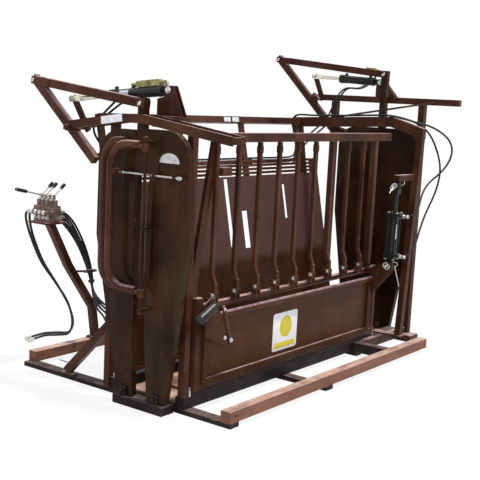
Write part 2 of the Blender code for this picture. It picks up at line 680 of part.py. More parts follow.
def head_gate(finishes):
    x0 = HEAD_X
    paint = finishes["paint"]
    lug_x = x0 - 0.075
    pin_y = -0.066
    latch_x = x0 - 0.056
    latch_z = 1.283
    near_outline = [(-0.080, 0.0565), (-0.047, 0.450), (-0.047, 1.285), (0.000, 1.285), (0.000, 1.519)]
    near_outline += arc((-0.157, 1.359), 0.160, 90, 180, 8)
    near_outline += [(-0.338, 0.920), (-0.210, 0.0630)]
    near_extra = [box((x0 - 0.034, -0.086, 0.720), (x0 - 0.018, -0.050, 1.235))]
    for low in (0.560, 1.000, 1.455):
        near_extra.append(box((lug_x - 0.015, -0.086, low), (x0 - 0.018, -0.050, low + 0.010)))
    near_extra.append(rod((lug_x, pin_y, 0.550), (lug_x, pin_y, 1.475), 0.009, 10))
    for low in (-0.258, -0.120):
        near_extra.append(box((latch_x - 0.014, low, latch_z - 0.014),
                              (x0 - 0.018, low + 0.010, latch_z + 0.014)))
    near_extra.append(box((x0 - CORE, 0.0033, 1.2855), (x0 + CORE, 0.0533, 1.680)))
    near_extra.append(box((x0 - CORE, -0.010, 1.2855), (x0 + CORE, 0.006, 1.500)))
    hole = rod((latch_x, -0.30, latch_z), (latch_x, 0.0, latch_z), 0.0078, 10)
    gate_half("head_gate_near_half", near_outline, x0, -0.145, paint, near_extra, [hole])

    far_outline = [(0.030, 0.0565), (0.145, 0.0565), (0.335, 0.920), (0.333, 1.330)]
    far_outline += arc((0.173, 1.350), 0.160, 0, 90, 8)
    far_outline += [(0.057, 1.510), (0.057, 1.285), (0.042, 1.285), (0.042, 0.450)]
    seat = [box((x0 - 0.034, 0.046, 0.720), (x0 - 0.018, 0.082, 1.235))]
    gate_half("head_gate_far_half", far_outline, x0, 0.088, paint, seat,
              [pin_hole(x0, HEAD_PLACES["far_pin"])])

    radius = 0.021
    far_bar = c_bar(x0 - 0.020 - GAP - radius, 0.270, 0.115, 1.452, 0.655, radius, 0.120)
    node("far_neck_bar", [far_bar], paint, pivot=(x0, 0.088, 0.075), smooth=True)

    bar_x = x0 - 0.092
    side_y = 0.170
    neck = [c_bar(bar_x, side_y, -0.040, 1.440, 0.668, radius, 0.120)]
    sleeves = []
    for middle in (1.425, 0.655):
        neck.append(rod((lug_x, pin_y, middle - 0.022), (lug_x, pin_y, middle + 0.022), 0.019, 12))
        neck.append(box((lug_x - 0.030, pin_y + 0.004, middle - 0.004),
                        (lug_x, pin_y + 0.040, middle + 0.014)))
        sleeves.append(rod((lug_x, pin_y, middle - 0.05), (lug_x, pin_y, middle + 0.05), 0.0112, 12))
    neck.append(box((bar_x - 0.006, side_y - 0.036, latch_z - 0.016),
                    (latch_x - 0.0085, side_y, latch_z + 0.018)))
    neck.append(box((latch_x - 0.012, side_y - 0.036, latch_z + 0.010), (latch_x + 0.008, side_y - 0.012,
                                                                         latch_z + 0.018)))
    node("neck_bar", neck, paint, sleeves, (lug_x, pin_y, 1.000), smooth=True)

    pin = [rod((latch_x, -0.285, latch_z), (latch_x, 0.150, latch_z), 0.0060, 10)]
    pin.append(rod((latch_x, -0.292, latch_z), (latch_x, -0.275, latch_z), 0.0110, 10))
    node("neck_latch_rod", pin, finishes["zinc"], pivot=(latch_x, -0.070, latch_z))


def tail_gate(finishes):
    x0 = TAIL_X
    paint = finishes["paint"]
    near_outline = [(-0.060, 0.0565), (-0.004, 0.200), (-0.004, 1.280), (-0.047, 1.280), (-0.047, 1.540)]
    near_outline += arc((-0.190, 1.400), 0.140, 90, 180, 6)
    near_outline += [(-0.330, 0.900), (-0.200, 0.0680)]
    arm = [box((x0 - CORE, -0.0435, 1.2805), (x0 + CORE, 0.0065, 1.952))]
    arm.append(box((x0 - CORE, -0.060, 1.2805), (x0 + CORE, -0.040, 1.520)))
    gate_half("tail_gate_near_half", near_outline, x0, -0.110, paint, arm)
    far_outline = [(0.060, 0.0565), (0.200, 0.0680), (0.330, 0.900), (0.330, 1.400)]
    far_outline += arc((0.190, 1.400), 0.140, 0, 90, 6)
    far_outline += [(0.011, 1.540), (0.011, 1.280), (0.004, 1.280), (0.004, 0.200)]
    gate_half("tail_gate_far_half", far_outline, x0, 0.110, paint, (), [pin_hole(x0, TAIL_PLACES["far_pin"])])


# Sides

def near_place():
    return Matrix.Translation((0, NEAR_HINGE_Y, SIDE_HINGE_Z))


def far_place():
    return Matrix.Translation((0, SIDE_HINGE_Y, SIDE_HINGE_Z)) @ Matrix.Rotation(-FAR_SLANT, 4, "X")


def near_side(finishes):
    """The squeezing side, upright at rest. It is laid out from its hinge, outside at -Y."""
    place = near_place()
    hinge = (0, NEAR_HINGE_Y, SIDE_HINGE_Z)
    rail = HINGE_RAIL_TOP
    top = SIDE_TOP
    pin_z = rail + BAR_PIN_RISE
    pin_y = -0.038

    frame = [box((SIDE_FRONT, -0.025, -0.012), (SIDE_REAR, 0.012, 0.026))]
    frame.append(box((SIDE_FRONT, -0.032, -0.010), (SIDE_FRONT + 0.050, 0.018, rail + 0.040)))
    stile = [(-1.165, 0.400), (-1.187, 0.560), (-1.040, top - 0.020), (-0.990, top - 0.020), (-1.135, 0.560),
             (-1.115, 0.400)]
    frame.append(plate_xz(stile, 0.001, 0.026))
    frame.append(box((TOP_RAIL_FRONT, -0.040, top - 0.050), (TOP_RAIL_REAR, 0.018, top)))
    frame.append(box((SIDE_FRONT, -0.024, rail - 0.030), (SIDE_REAR, 0.014, rail)))
    frame.append(box((0.655, -0.030, rail - 0.010), (0.690, 0.010, top - 0.020)))
    frame.append(box((SIDE_REAR - 0.030, -0.024, 0.0), (SIDE_REAR, 0.012, rail - 0.010)))
    frame.append(box((-1.045, 0.004, 1.155), (-0.930, 0.016, 1.200)))
    frame.append(box((-1.012, -0.040, 1.155), (-0.930, 0.012, 1.200)))
    for index in range(BAR_COUNT):
        x = BAR_FIRST_X + BAR_PITCH * index
        for side in (-1, 1):
            low, high = sorted((x + side * 0.0135, x + side * 0.0195))
            frame.append(box((low, -0.052, rail - 0.006), (high, -0.014, pin_z + 0.014)))
        frame.append(rod((x - 0.026, pin_y, pin_z), (x + 0.026, pin_y, pin_z), 0.0065, 8))
    corner = [(PANEL_REAR + 0.010, 0.0), (PANEL_REAR + 0.010, rail - 0.005),
              (SIDE_REAR - 0.008, rail + 0.010), (SIDE_REAR - 0.004, 0.0)]
    frame.append(plate_xz(corner, -0.018, 0.006))
    frame = [moved(shape, place) for shape in frame]
    low_y, low_z = SQUEEZE_LOW
    cheek = [(low_y - 0.022, low_z - 0.028), (low_y - 0.022, low_z + 0.024), (low_y + 0.018, low_z + 0.032),
             (-0.270, 0.585), (-0.262, 0.420), (-0.290, 0.400)]
    cuts = [rod((SIDE_FRONT - 0.05, *hinge[1:]), (SIDE_REAR + 0.05, *hinge[1:]), 0.0100, 12)]
    for side in (-1, 1):
        low, high = sorted((SQUEEZE_X + side * 0.0125, SQUEEZE_X + side * 0.0185))
        frame.append(plate(cheek, low, high))
    frame.append(rod((SQUEEZE_X - 0.024, low_y, low_z), (SQUEEZE_X + 0.024, low_y, low_z), 0.0080, 10))
    node("near_side_frame", frame, finishes["paint"], cuts, hinge)

    pin = [rod((SIDE_FRONT - 0.028, *hinge[1:]), (SIDE_REAR + 0.028, *hinge[1:]), 0.0085, 10)]
    for x in (SIDE_FRONT - 0.022, SIDE_REAR + 0.006):
        pin.append(box((x, -SILL_OUTER, FRAME_TOP + GAP), (x + 0.014, hinge[1] + 0.014, 0.148)))
    node("near_hinge_rod", pin, finishes["zinc"])

    drop_panel(place, finishes)
    for index in range(BAR_COUNT):
        x = BAR_FIRST_X + BAR_PITCH * index
        knee = rail + 0.140
        upper = top - 0.0525
        shapes = [box((x - 0.0120, -0.048, pin_z - 0.022), (x + 0.0120, -0.028, knee - 0.030))]
        shapes.append(bar((x, -0.038, knee - 0.042), (x, -0.013, knee + 0.020), 0.0239, 0.021))
        shapes.append(box((x - 0.0120, -0.024, knee), (x + 0.0120, -0.002, upper)))
        cut = [moved(rod((x - 0.03, pin_y, pin_z), (x + 0.03, pin_y, pin_z), 0.0078, 10), place)]
        shapes = [moved(shape, place) for shape in shapes]
        pivot = place @ Vector((x, pin_y, pin_z))
        node("drop_bar_%d" % (index + 1), shapes, finishes["paint"], cut, tuple(pivot))


def drop_panel(place, finishes):
    """The lower panel that folds down, with its stiffening tube, its latch bracket and latch handle."""
    front = SIDE_FRONT + 0.0530
    top = 0.392
    panel = [box((front, -0.0330, 0.030), (PANEL_REAR, -0.0290, top))]
    panel.append(box((front, -0.0480, 0.0265), (PANEL_REAR, -0.0290, 0.052)))
    for x in (front, PANEL_REAR - 0.030):
        panel.append(box((x, -0.0480, 0.040), (x + 0.030, -0.0290, top)))
    panel.append(rod((front, -0.046, top), (PANEL_REAR, -0.046, top), 0.0190, 12))
    bracket = [(-1.165, 0.305), (-1.165, 0.490), (-1.135, 0.513), (-1.095, 0.513), (-1.080, 0.470),
               (-0.886, 0.215), (-0.960, 0.215)]
    panel.append(plate_xz(bracket, -0.095, -0.088))
    for x, low, high in ((-1.104, 0.295, 0.392), (-0.965, 0.230, 0.310)):
        panel.append(box((x, -0.092, low), (x + 0.008, -0.030, high)))
    panel = [moved(shape, place) for shape in panel]
    hinge = place @ Vector((0, -0.038, 0.039))
    node("drop_panel", panel, finishes["paint"], pivot=tuple(hinge))

    reach = -0.125
    turn = (-1.112, 0.484)
    grip_end = Vector((-1.134, reach, 0.474))
    grip_start = Vector((-1.254, reach, 0.418))
    handle = [rod(grip_start, grip_end, 0.0270, 14)]
    link_start = grip_end + Vector((-0.004, 0, -0.002))
    handle.append(bar(link_start, (turn[0], reach, turn[1]), 0.014, 0.020, (0, 1, 0)))
    handle.append(rod((turn[0], reach - 0.008, turn[1]), (turn[0], -0.0955, turn[1]), 0.0100, 10))
    handle = [moved(shape, place) for shape in handle]
    turn = place @ Vector((turn[0], -0.0955, turn[1]))
    node("panel_latch_handle", handle, finishes["black"], pivot=tuple(turn), smooth=True)


def squeeze_cylinder(finishes):
    """The upright cylinder between the rear hoop's arm and the near side. Its rod is at the top."""
    x = SQUEEZE_X
    top = Vector((x, *SQUEEZE_TOP))
    low = Vector((x, *SQUEEZE_LOW))
    down = (low - top).normalized()
    fork = [rod(top + down * 0.045, top + down * 0.400, 0.0140, 12)]
    fork.append(bar(top + down * 0.030, top + down * 0.062, 0.044, 0.040))
    for side in (-1, 1):
        offset = Vector((side * 0.0165, 0, 0))
        fork.append(bar(top - down * 0.018 + offset, top + down * 0.040 + offset, 0.011, 0.036))
    eye = [rod((x - 0.04, top.y, top.z), (x + 0.04, top.y, top.z), 0.0130, 12)]
    node("squeeze_cylinder_rod", fork, finishes["chrome"], eye, tuple(top))

    tube_start = 0.190
    tube_end = 0.500
    side_reach = 0.030
    body = [rod(top + down * (tube_start + 0.020), top + down * (tube_end - 0.010), 0.0330, 16)]
    for start, end in ((tube_start, tube_start + 0.036), (tube_end - 0.036, tube_end)):
        body.append(bar(top + down * start, top + down * end, 0.085, 0.085))
        port = top + down * (start + end) / 2
        body.append(rod(port, port + Vector((0, -0.064, 0)), 0.011, 10))
    for dx in (-side_reach, side_reach):
        for dy in (-side_reach, side_reach):
            offset = Vector((dx, dy, 0))
            body.append(rod(top + down * (tube_start - 0.008) + offset,
                            top + down * (tube_end + 0.008) + offset, 0.0055, 6))
    body.append(bar(top + down * (tube_end - 0.005), low + down * 0.020, 0.021, 0.036))
    bore = rod(top + down * (tube_start - 0.02), top + down * (tube_end - 0.045), 0.0165, 12)
    low_eye = rod((x - 0.03, low.y, low.z), (x + 0.03, low.y, low.z), 0.0125, 12)
    node("squeeze_cylinder_barrel", body, finishes["black"], [bore, low_eye], tuple(low))


def far_side(finishes):
    """The fixed side with its sheets. It is laid out upright, outside at +Y, and then leaned out."""
    place = far_place()
    front, rear, sheet_rear = -1.150, 0.900, 1.045
    top = 1.480
    frame = [box((front, -0.010, -0.012), (sheet_rear, 0.030, 0.030))]
    frame.append(box((front, -0.012, top - 0.045), (rear, 0.036, top)))
    for x in (front, -0.470, 0.180, rear - 0.040):
        frame.append(box((x, 0.004, 0.0), (x + 0.040, 0.030, top - 0.020)))
    frame.append(box((sheet_rear - 0.040, 0.004, 0.0), (sheet_rear, 0.030, 1.181)))
    for rib in range(4):
        low = 1.085 + rib * 0.026
        frame.append(box((front + 0.010, -0.006, low), (sheet_rear - 0.010, 0.008, low + 0.018)))
    frame.append(box((front + 0.02, -0.004, 0.545), (sheet_rear - 0.02, 0.010, 0.575)))
    for x in (-1.130, 0.800):
        frame.append(box((x, 0.020, -0.0255), (x + 0.060, 0.060, 0.010)))
    board_end = BULKHEAD_X + 5 * BULKHEAD_PITCH
    frame.append(box((BULKHEAD_X - 0.030, 0.026, BULKHEAD_LOW), (board_end + 0.030, 0.048, BULKHEAD_HIGH)))
    frame.append(box((-0.950, 0.004, 0.0), (-0.910, 0.030, 0.575)))
    frame = [moved(shape, place) for shape in frame]
    node("far_side_frame", frame, finishes["paint"])

    sheet = [box((front + 0.01, -0.0155, 0.032), (sheet_rear, -0.0125, 1.075))]
    windows = ((-0.560, -0.532, 0.620, 1.020), (-0.098, -0.062, 0.612, 1.060), (0.060, 0.115, 0.590, 0.840),
               (0.562, 0.588, 0.760, 1.000))
    cuts = [box((left, -0.03, low), (right, 0.0, high)) for left, right, low, high in windows]
    sheet = [moved(shape, place) for shape in sheet]
    cuts = [moved(shape, place) for shape in cuts]
    node("far_side_sheet", sheet, finishes["paint"], cuts)


# Valve stand

def control_stand(finishes):
    y = STAND_Y
    base_z = FRAME_TOP + GAP
    path = ((-0.655, base_z + 0.005), (-0.690, 0.305), (-0.910, 0.603), (-1.062, 0.872))
    shapes = [box((-0.705, y - 0.030, base_z), (-0.605, y + 0.030, base_z + 0.010))]
    for start, end in zip(path, path[1:]):
        first = Vector((start[0], y, start[1]))
        last = Vector((end[0], y, end[1]))
        overlap = (last - first).normalized() * 0.012
        shapes.append(bar(first, last + overlap, 0.044, 0.044, (0, 1, 0)))
    shapes.append(box((-1.165, y - 0.085, BANK_BASE - 0.012), (-1.015, y + 0.085, BANK_BASE - GAP)))
    ring_centre = Vector((-0.804, 0.900, 0.566))
    shapes.append(round_ring(ring_centre, (0.15, 0.35, 1.0), 0.040, 0.006))
    shapes.append(rod((-0.872, y - 0.016, 0.560), (-0.826, 0.934, 0.562), 0.007, 8))
    node("valve_stand_post", shapes, finishes["rusted"])

    first = y - 2 * SECTION
    front, back = -1.135, -1.045
    bank = []
    for index in range(4):
        low = first + index * SECTION
        middle = low + SECTION / 2
        bank.append(box((front, low + 0.001, BANK_BASE), (back, low + SECTION - 0.001, 0.995)))
        bank.append(box((front + 0.018, low + 0.007, 0.990), (back - 0.018, low + SECTION - 0.007, 1.030)))
        bank.append(rod((front + 0.004, middle, 0.960), (front - 0.030, middle, 0.960), 0.012, 8))
    bank.append(box((front + 0.010, first - 0.012, 0.905),
                    (back - 0.010, first + 4 * SECTION + 0.012, 0.985)))
    for start in hose_ports():
        bank.append(rod((back - 0.004, start.y, start.z), (back + 0.020, start.y, start.z), 0.0085, 8))
    for x in (-1.105, -1.075):
        end = first + 4 * SECTION
        bank.append(rod((x, end, 0.945), (x, 1.1098, 0.945), 0.0095, 8))
    node("valve_bank", bank, finishes["olive"])

    for index in range(4):
        middle = first + (index + 0.5) * SECTION
        pivot = Vector((-1.090, middle, 1.052))
        tip = pivot + (Vector((-0.255, 0, 0.055)) if index == 1 else Vector((0.085, 0, 0.070)))
        knob_start = pivot.lerp(tip, 0.70)
        shapes = [box((pivot.x - 0.011, middle - 0.008, 1.0345), (pivot.x + 0.011, middle + 0.008, 1.064))]
        shapes.append(rod(pivot, tip, 0.0050, 8))
        shapes.append(rod(knob_start, tip + (tip - pivot).normalized() * 0.006, 0.0100, 10))
        node("valve_lever_%d" % (index + 1), shapes, finishes["zinc"], pivot=tuple(pivot))


# Hoses. Every route is a list of points chosen by hand, in metres.

def hose_ports():
    """The six places on the valve bank's back where hoses screw in: three across, in two rows."""
    ports = []
    for row in range(2):
        for column in range(3):
            ports.append(Vector((-1.025, STAND_Y + (column - 1) * 0.040, 0.920 + row * 0.035)))
    return ports


def far_wall(x, out, up):
    """A point outside the far side: out from its plane and up along it."""
    return far_place() @ Vector((x, out, up))


def stand_routes():
    """Six hoses from the valve bank down through the ring and over to the bulkhead."""
    routes = []
    for index, start in enumerate(hose_ports()):
        row, column = divmod(index, 3)
        across = (column - 1) * 0.0150
        back = (row - 0.5) * 0.0150
        end_x = BULKHEAD_X + BULKHEAD_PITCH * (2 * column + row)
        spread = end_x + 0.9475
        routes.append([start + Vector((GAP, 0, 0)),
                       start + Vector((0.030, 0, 0)),
                       start + Vector((0.090 + back, (0.9 - start.y) * 0.3, -0.060)),
                       (-0.860 + back, 0.930 + across * 1.6, 0.740),
                       (-0.804 + back + across * 0.35, 0.900 + across * 0.95, 0.566),
                       (-0.816 + across * 0.75 + back * 0.6, 0.858 + across * 0.65 + back * 0.8, 0.445),
                       (-0.838 + across * 0.8 + spread * 0.15, 0.775, 0.372 + back),
                       (-0.875 + spread * 0.5, 0.640, 0.345 + back),
                       (-0.925 + spread * 0.85, 0.520, 0.342 + back),
                       far_wall(end_x, 0.110, 0.250 + back),
                       far_wall(end_x, 0.048 + GAP, 0.250 + back)])
    return routes


def wall_hose_x(index):
    return BULKHEAD_X + BULKHEAD_PITCH * index


def wall_hose_level(index):
    return 1.200 - 0.016 * (index - 2)


WALL_OUT = 0.0445


def head_routes():
    """Two hoses from the bulkhead up the far side and forward to the head gate's lock valve."""
    first_port, second_port = valve_ports(HEAD_X, HEAD_PLACES, HEAD_VALVE)
    routes = []
    tops = ((0, second_port, (-1.070, 0.400, 1.690)), (1, first_port, (-1.030, 0.350, 1.690)))
    for index, port, over in tops:
        x = wall_hose_x(index)
        shift = 0.040 * index
        routes.append([far_wall(x, WALL_OUT - 0.0075, BULKHEAD_HIGH + GAP),
                       far_wall(x, WALL_OUT - 0.0075, BULKHEAD_HIGH + 0.015),
                       far_wall(x, WALL_OUT, BULKHEAD_HIGH + 0.080),
                       far_wall(x, WALL_OUT, 0.70),
                       far_wall(x, WALL_OUT, 1.10),
                       far_wall(x - 0.035, WALL_OUT, 1.27),
                       far_wall(x - 0.110, WALL_OUT + 0.004, 1.40),
                       far_wall(-1.050 + shift, WALL_OUT + 0.006, 1.495),
                       over,
                       (-1.085 + 0.6 * shift, port.y + 0.110, port.z + 0.004),
                       (-1.100 + 0.4 * shift, port.y + 0.020, port.z + 0.002),
                       port + Vector((0.030, 0, 0)),
                       port + Vector((GAP, 0, 0))])
    return routes


def squeeze_routes():
    """Two hoses from the bulkhead along the far side, over the hoop and down to the squeeze cylinder."""
    down = (Vector((0, *SQUEEZE_LOW)) - Vector((0, *SQUEEZE_TOP))).normalized()
    upper_port, lower_port = [Vector((SQUEEZE_X, SQUEEZE_TOP[0], SQUEEZE_TOP[1])) + down * along
                              + Vector((0, -0.064 - GAP, 0)) for along in (0.208, 0.482)]
    routes = []
    ends = ([(0.932, -0.420, 1.602), (1.000, -0.530, 1.572), (1.080, -0.620, 1.495), (1.105, -0.642, 1.410),
             (1.098, -0.615, 1.320), (1.060, -0.575, 1.250), (0.990, -0.545, 1.200), (0.900, -0.545, 1.140),
             (0.820, -0.565, 1.065), (0.755, -0.580, 1.000), upper_port + Vector((0, -0.030, 0)),
             upper_port],
            [(0.955, -0.400, 1.606), (1.035, -0.478, 1.540), (1.095, -0.525, 1.420), (1.104, -0.562, 1.280),
             (1.060, -0.560, 1.130), (0.965, -0.545, 0.985), (0.860, -0.555, 0.860), (0.775, -0.570, 0.760),
             lower_port + Vector((0, -0.030, 0)), lower_port])
    for index, track, end in ((2, 0.9075, ends[0]), (3, 0.9220, ends[1])):
        x = wall_hose_x(index)
        level = wall_hose_level(index)
        rise = track - 0.020
        routes.append([far_wall(x, WALL_OUT - 0.0075, BULKHEAD_HIGH + GAP),
                       far_wall(x, WALL_OUT - 0.0075, BULKHEAD_HIGH + 0.015),
                       far_wall(x, WALL_OUT, BULKHEAD_HIGH + 0.080),
                       far_wall(x, WALL_OUT, 0.60),
                       far_wall(x, WALL_OUT, level - 0.090),
                       far_wall(x + 0.026, WALL_OUT, level - 0.026),
                       far_wall(x + 0.090, WALL_OUT, level),
                       far_wall(-0.20, WALL_OUT, level),
                       far_wall(0.35, WALL_OUT, level),
                       far_wall(rise - 0.085, WALL_OUT, level),
                       far_wall(rise - 0.025, WALL_OUT, level + 0.028),
                       far_wall(rise, WALL_OUT, level + 0.095),
                       far_wall(rise + 0.001, 0.052, 1.400),
                       (rise + 0.002, 0.566, 1.566),
                       (rise + 0.005, 0.552, 1.600),
                       (track - 0.005, 0.510, 1.611),
                       (track, 0.455, 1.6055),
                       (track, 0.400, 1.606),
                       (track, 0.100, 1.619),
                       (track, -0.215, 1.637),
                       (track + 0.004, -0.310, 1.626)] + end)
    return routes


def tail_routes():
    """Two hoses from the bulkhead along the far side and up to the tail gate's lock valve."""
    first_port, second_port = valve_ports(TAIL_X, TAIL_PLACES, TAIL_VALVE)
    routes = []
    for index, port in ((4, second_port), (5, first_port)):
        x = wall_hose_x(index)
        level = wall_hose_level(index)
        shift = 0.018 * (index - 4)
        routes.append([far_wall(x, WALL_OUT - 0.0075, BULKHEAD_HIGH + GAP),
                       far_wall(x, WALL_OUT - 0.0075, BULKHEAD_HIGH + 0.015),
                       far_wall(x, WALL_OUT, BULKHEAD_HIGH + 0.080),
                       far_wall(x, WALL_OUT, 0.60),
                       far_wall(x, WALL_OUT, level - 0.090),
                       far_wall(x + 0.026, WALL_OUT, level - 0.026),
                       far_wall(x + 0.090, WALL_OUT, level),
                       far_wall(-0.20, WALL_OUT, level),
                       far_wall(0.35, WALL_OUT, level),
                       far_wall(0.770, WALL_OUT, level),
                       (0.860 + shift, 0.510, 1.275 - shift),
                       (0.945 + shift, 0.545, 1.320 - shift),
                       (1.010 + shift, 0.545 - shift, 1.400 - shift),
                       (1.070 + shift, 0.480 - shift, 1.490 - shift),
                       (1.115 + shift, 0.400 - shift, 1.580 - shift),
                       (1.128 + shift, 0.355 - shift, 1.690),
                       (1.150 + shift * 0.6, 0.320 - shift, 1.785),
                       (1.200, 0.290 - shift, 1.825),
                       (1.270, 0.270 - shift, 1.818),
                       (1.355, 0.255 - shift, 1.826),
                       (1.402, port.y + 0.050, 1.880),
                       (1.398, port.y + 0.008, port.z - 0.012),
                       port + Vector((0.028, 0, 0)),
                       port + Vector((GAP, 0, 0))])
    return routes


SUPPLY_ROUTES = (
    [(-1.105, 1.1103, 0.945), (-1.105, 1.150, 0.945), (-1.085, 1.195, 0.900), (-1.030, 1.215, 0.780),
     (-0.930, 1.225, 0.600), (-0.800, 1.225, 0.440), (-0.680, 1.235, 0.290), (-0.600, 1.270, 0.140),
     (-0.565, 1.340, 0.035), (-0.585, 1.420, 0.0105), (-0.650, 1.470, 0.0085), (-0.720, 1.465, 0.0085),
     (-0.765, 1.444, 0.0125), (-0.785, 1.437, 0.0145), (-0.800, 1.432, 0.0145)],
    [(-1.075, 1.1103, 0.945), (-1.075, 1.155, 0.945), (-1.050, 1.200, 0.890), (-0.990, 1.235, 0.770),
     (-0.890, 1.250, 0.590), (-0.760, 1.255, 0.420), (-0.640, 1.270, 0.260), (-0.555, 1.310, 0.120),
     (-0.525, 1.380, 0.030), (-0.545, 1.470, 0.0105), (-0.615, 1.520, 0.0085), (-0.700, 1.515, 0.0085),
     (-0.745, 1.498, 0.0125), (-0.765, 1.490, 0.0145), (-0.780, 1.485, 0.0145)])


def hoses(finishes):
    rubber = finishes["rubber"]
    bundle = Vector((-0.810, 0.879, 0.5055))
    fall = Vector((-0.10, -0.33, -0.94)).normalized()
    tie = bar(bundle - fall * 0.007, bundle + fall * 0.007, 0.030, 0.042, (0.8, 0.4, 0))
    hose_group("stand_hoses", stand_routes(), rubber, [tie])
    place = far_place()
    first, second = wall_hose_x(0), wall_hose_x(1)
    tie = box((first - 0.003, WALL_OUT - 0.0045, 0.660), (second + 0.003, WALL_OUT + 0.0045, 0.672))
    hose_group("head_hoses", head_routes(), rubber, [moved(tie, place)])
    for name, routes, index in (("squeeze_hoses", squeeze_routes(), 2), ("tail_hoses", tail_routes(), 4)):
        upper = wall_hose_level(index)
        lower = wall_hose_level(index + 1)
        ties = []
        for x in (-0.400, 0.300):
            tie = box((x, WALL_OUT - 0.0045, lower - 0.002), (x + 0.012, WALL_OUT + 0.0045, upper + 0.002))
            ties.append(moved(tie, place))
        hose_group(name, routes, rubber, ties)
    for index, route in enumerate(SUPPLY_ROUTES):
        free_hose("supply_hose_%d" % (index + 1), route, rubber)
        aim = (Vector(route[-1]) - Vector(route[-2])).normalized()
        start = Vector(route[-1]) + aim * GAP
        shapes = [rod(start, start + aim * 0.022, 0.0100, 6)]
        shapes.append(rod(start + aim * 0.020, start + aim * 0.058, 0.0138, 12))
        node("supply_coupler_%d" % (index + 1), shapes, finishes["zinc"])


def main():
    clear_scene()
    finishes = {"paint": finish("brown_paint", PAINT, 0.32, 0.0),
                "rusted": finish("weathered_paint", RUSTED, 0.6, 0.0),
                "dark": finish("dark_paint", DARK, 0.45, 0.0),
                "black": finish("black_enamel", BLACK, 0.3, 0.0),
                "zinc": finish("zinc_plate", ZINC, 0.35, 0.9),
                "chrome": finish("chromed_rod", CHROME, 0.15, 1.0),
                "olive": finish("olive_enamel", OLIVE, 0.4, 0.0),
                "rubber": finish("hose_rubber", RUBBER, 0.55, 0.0)}
    build_base(finishes)
    head_frame(finishes)
    tail_frame(finishes)
    rear_hoop(finishes)
    head_gate(finishes)
    tail_gate(finishes)
    linkage("head", HEAD_X, HEAD_PLACES, HEAD_VALVE, (1,), finishes)
    linkage("tail", TAIL_X, TAIL_PLACES, TAIL_VALVE, (-1, 1), finishes)
    near_side(finishes)
    squeeze_cylinder(finishes)
    far_side(finishes)
    control_stand(finishes)
    hoses(finishes)


main()
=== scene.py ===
"""The calf chute as it stands in the photograph: its frame, dressed with paint, fittings and hoses.

Metres, +Z up. The head gate is at -X, the tail gate at +X, the squeezing side at -Y and the valve
stand at +Y. The frame's pieces are dressed in their own shapes. Small fittings are added at the
dimensions below, or at places given where each fitting is made.
"""
import json
import math

import bmesh
import bpy
from mathutils import Matrix, Vector

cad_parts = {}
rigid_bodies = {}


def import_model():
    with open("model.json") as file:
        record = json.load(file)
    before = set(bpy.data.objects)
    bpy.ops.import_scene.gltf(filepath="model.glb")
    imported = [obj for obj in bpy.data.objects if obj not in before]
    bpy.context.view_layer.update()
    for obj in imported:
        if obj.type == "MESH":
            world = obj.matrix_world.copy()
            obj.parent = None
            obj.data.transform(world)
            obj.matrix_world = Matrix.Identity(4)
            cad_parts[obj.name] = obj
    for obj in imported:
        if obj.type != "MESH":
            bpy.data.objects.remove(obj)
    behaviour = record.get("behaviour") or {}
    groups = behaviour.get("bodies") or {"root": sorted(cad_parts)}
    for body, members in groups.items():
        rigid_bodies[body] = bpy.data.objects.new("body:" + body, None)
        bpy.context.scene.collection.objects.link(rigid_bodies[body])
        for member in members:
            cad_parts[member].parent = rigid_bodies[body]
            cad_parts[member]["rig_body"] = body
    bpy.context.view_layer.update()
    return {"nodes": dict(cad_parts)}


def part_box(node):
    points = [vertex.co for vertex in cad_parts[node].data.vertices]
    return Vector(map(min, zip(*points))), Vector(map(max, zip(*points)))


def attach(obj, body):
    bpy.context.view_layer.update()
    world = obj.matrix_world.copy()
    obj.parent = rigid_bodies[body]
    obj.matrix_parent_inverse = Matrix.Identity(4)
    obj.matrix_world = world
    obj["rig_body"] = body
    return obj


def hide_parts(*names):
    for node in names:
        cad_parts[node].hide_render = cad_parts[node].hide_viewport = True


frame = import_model()

# Dimensions of the chute that the fittings need
HEAD_X = -1.290
TAIL_X = 1.218
CYLINDER_OFFSET = 0.090
SIDE_HINGE_Y = 0.205
SIDE_HINGE_Z = 0.130
FAR_SLANT = math.radians(11.7)
BAR_COUNT = 9
BAR_FIRST_X = -1.032
BAR_PITCH = 0.1944
BAR_PIN = (-0.300, 0.638)
BAR_TOP = 1.4625
BULKHEAD_X = -1.060
BULKHEAD_PITCH = 0.045
BANK_FIRST_Y = 0.920
BANK_SECTION = 0.036
SQUEEZE_X = 0.720
SQUEEZE_TOP = (-0.440, 1.180)
SQUEEZE_LOW = (-0.430, 0.620)
HEAD_PLACES = {"pivot": (0.546, 1.497), "top": (0.872, 1.748), "foot": (0.396, 1.340),
               "arm_pin": (0.028, 1.650), "far_pin": (0.270, 1.370), "crank": (0.653, 1.653),
               "cylinder_foot": (-0.080, 1.727)}
TAIL_PLACES = {"pivot": (0.575, 1.742), "top": (0.920, 2.018), "foot": (0.413, 1.520),
               "arm_pin": (-0.018, 1.925), "far_pin": (0.280, 1.490), "crank": (0.642, 1.900),
               "cylinder_foot": (0.060, 1.870)}

# A cylinder's tube takes this share of the way from its foot to the lever's crank. A lock valve
# starts and ends so far along its cylinder, and sits so far above it.
TUBE_SHARE = 0.60
HEAD_VALVE = (0.075, 0.235, 0.0463)
TAIL_VALVE = (0.065, 0.135, 0.0835)
SQUEEZE_TUBE = (0.190, 0.500)
SQUEEZE_PORTS = (0.208, 0.482)
TIE_ROD_REACH = 0.030

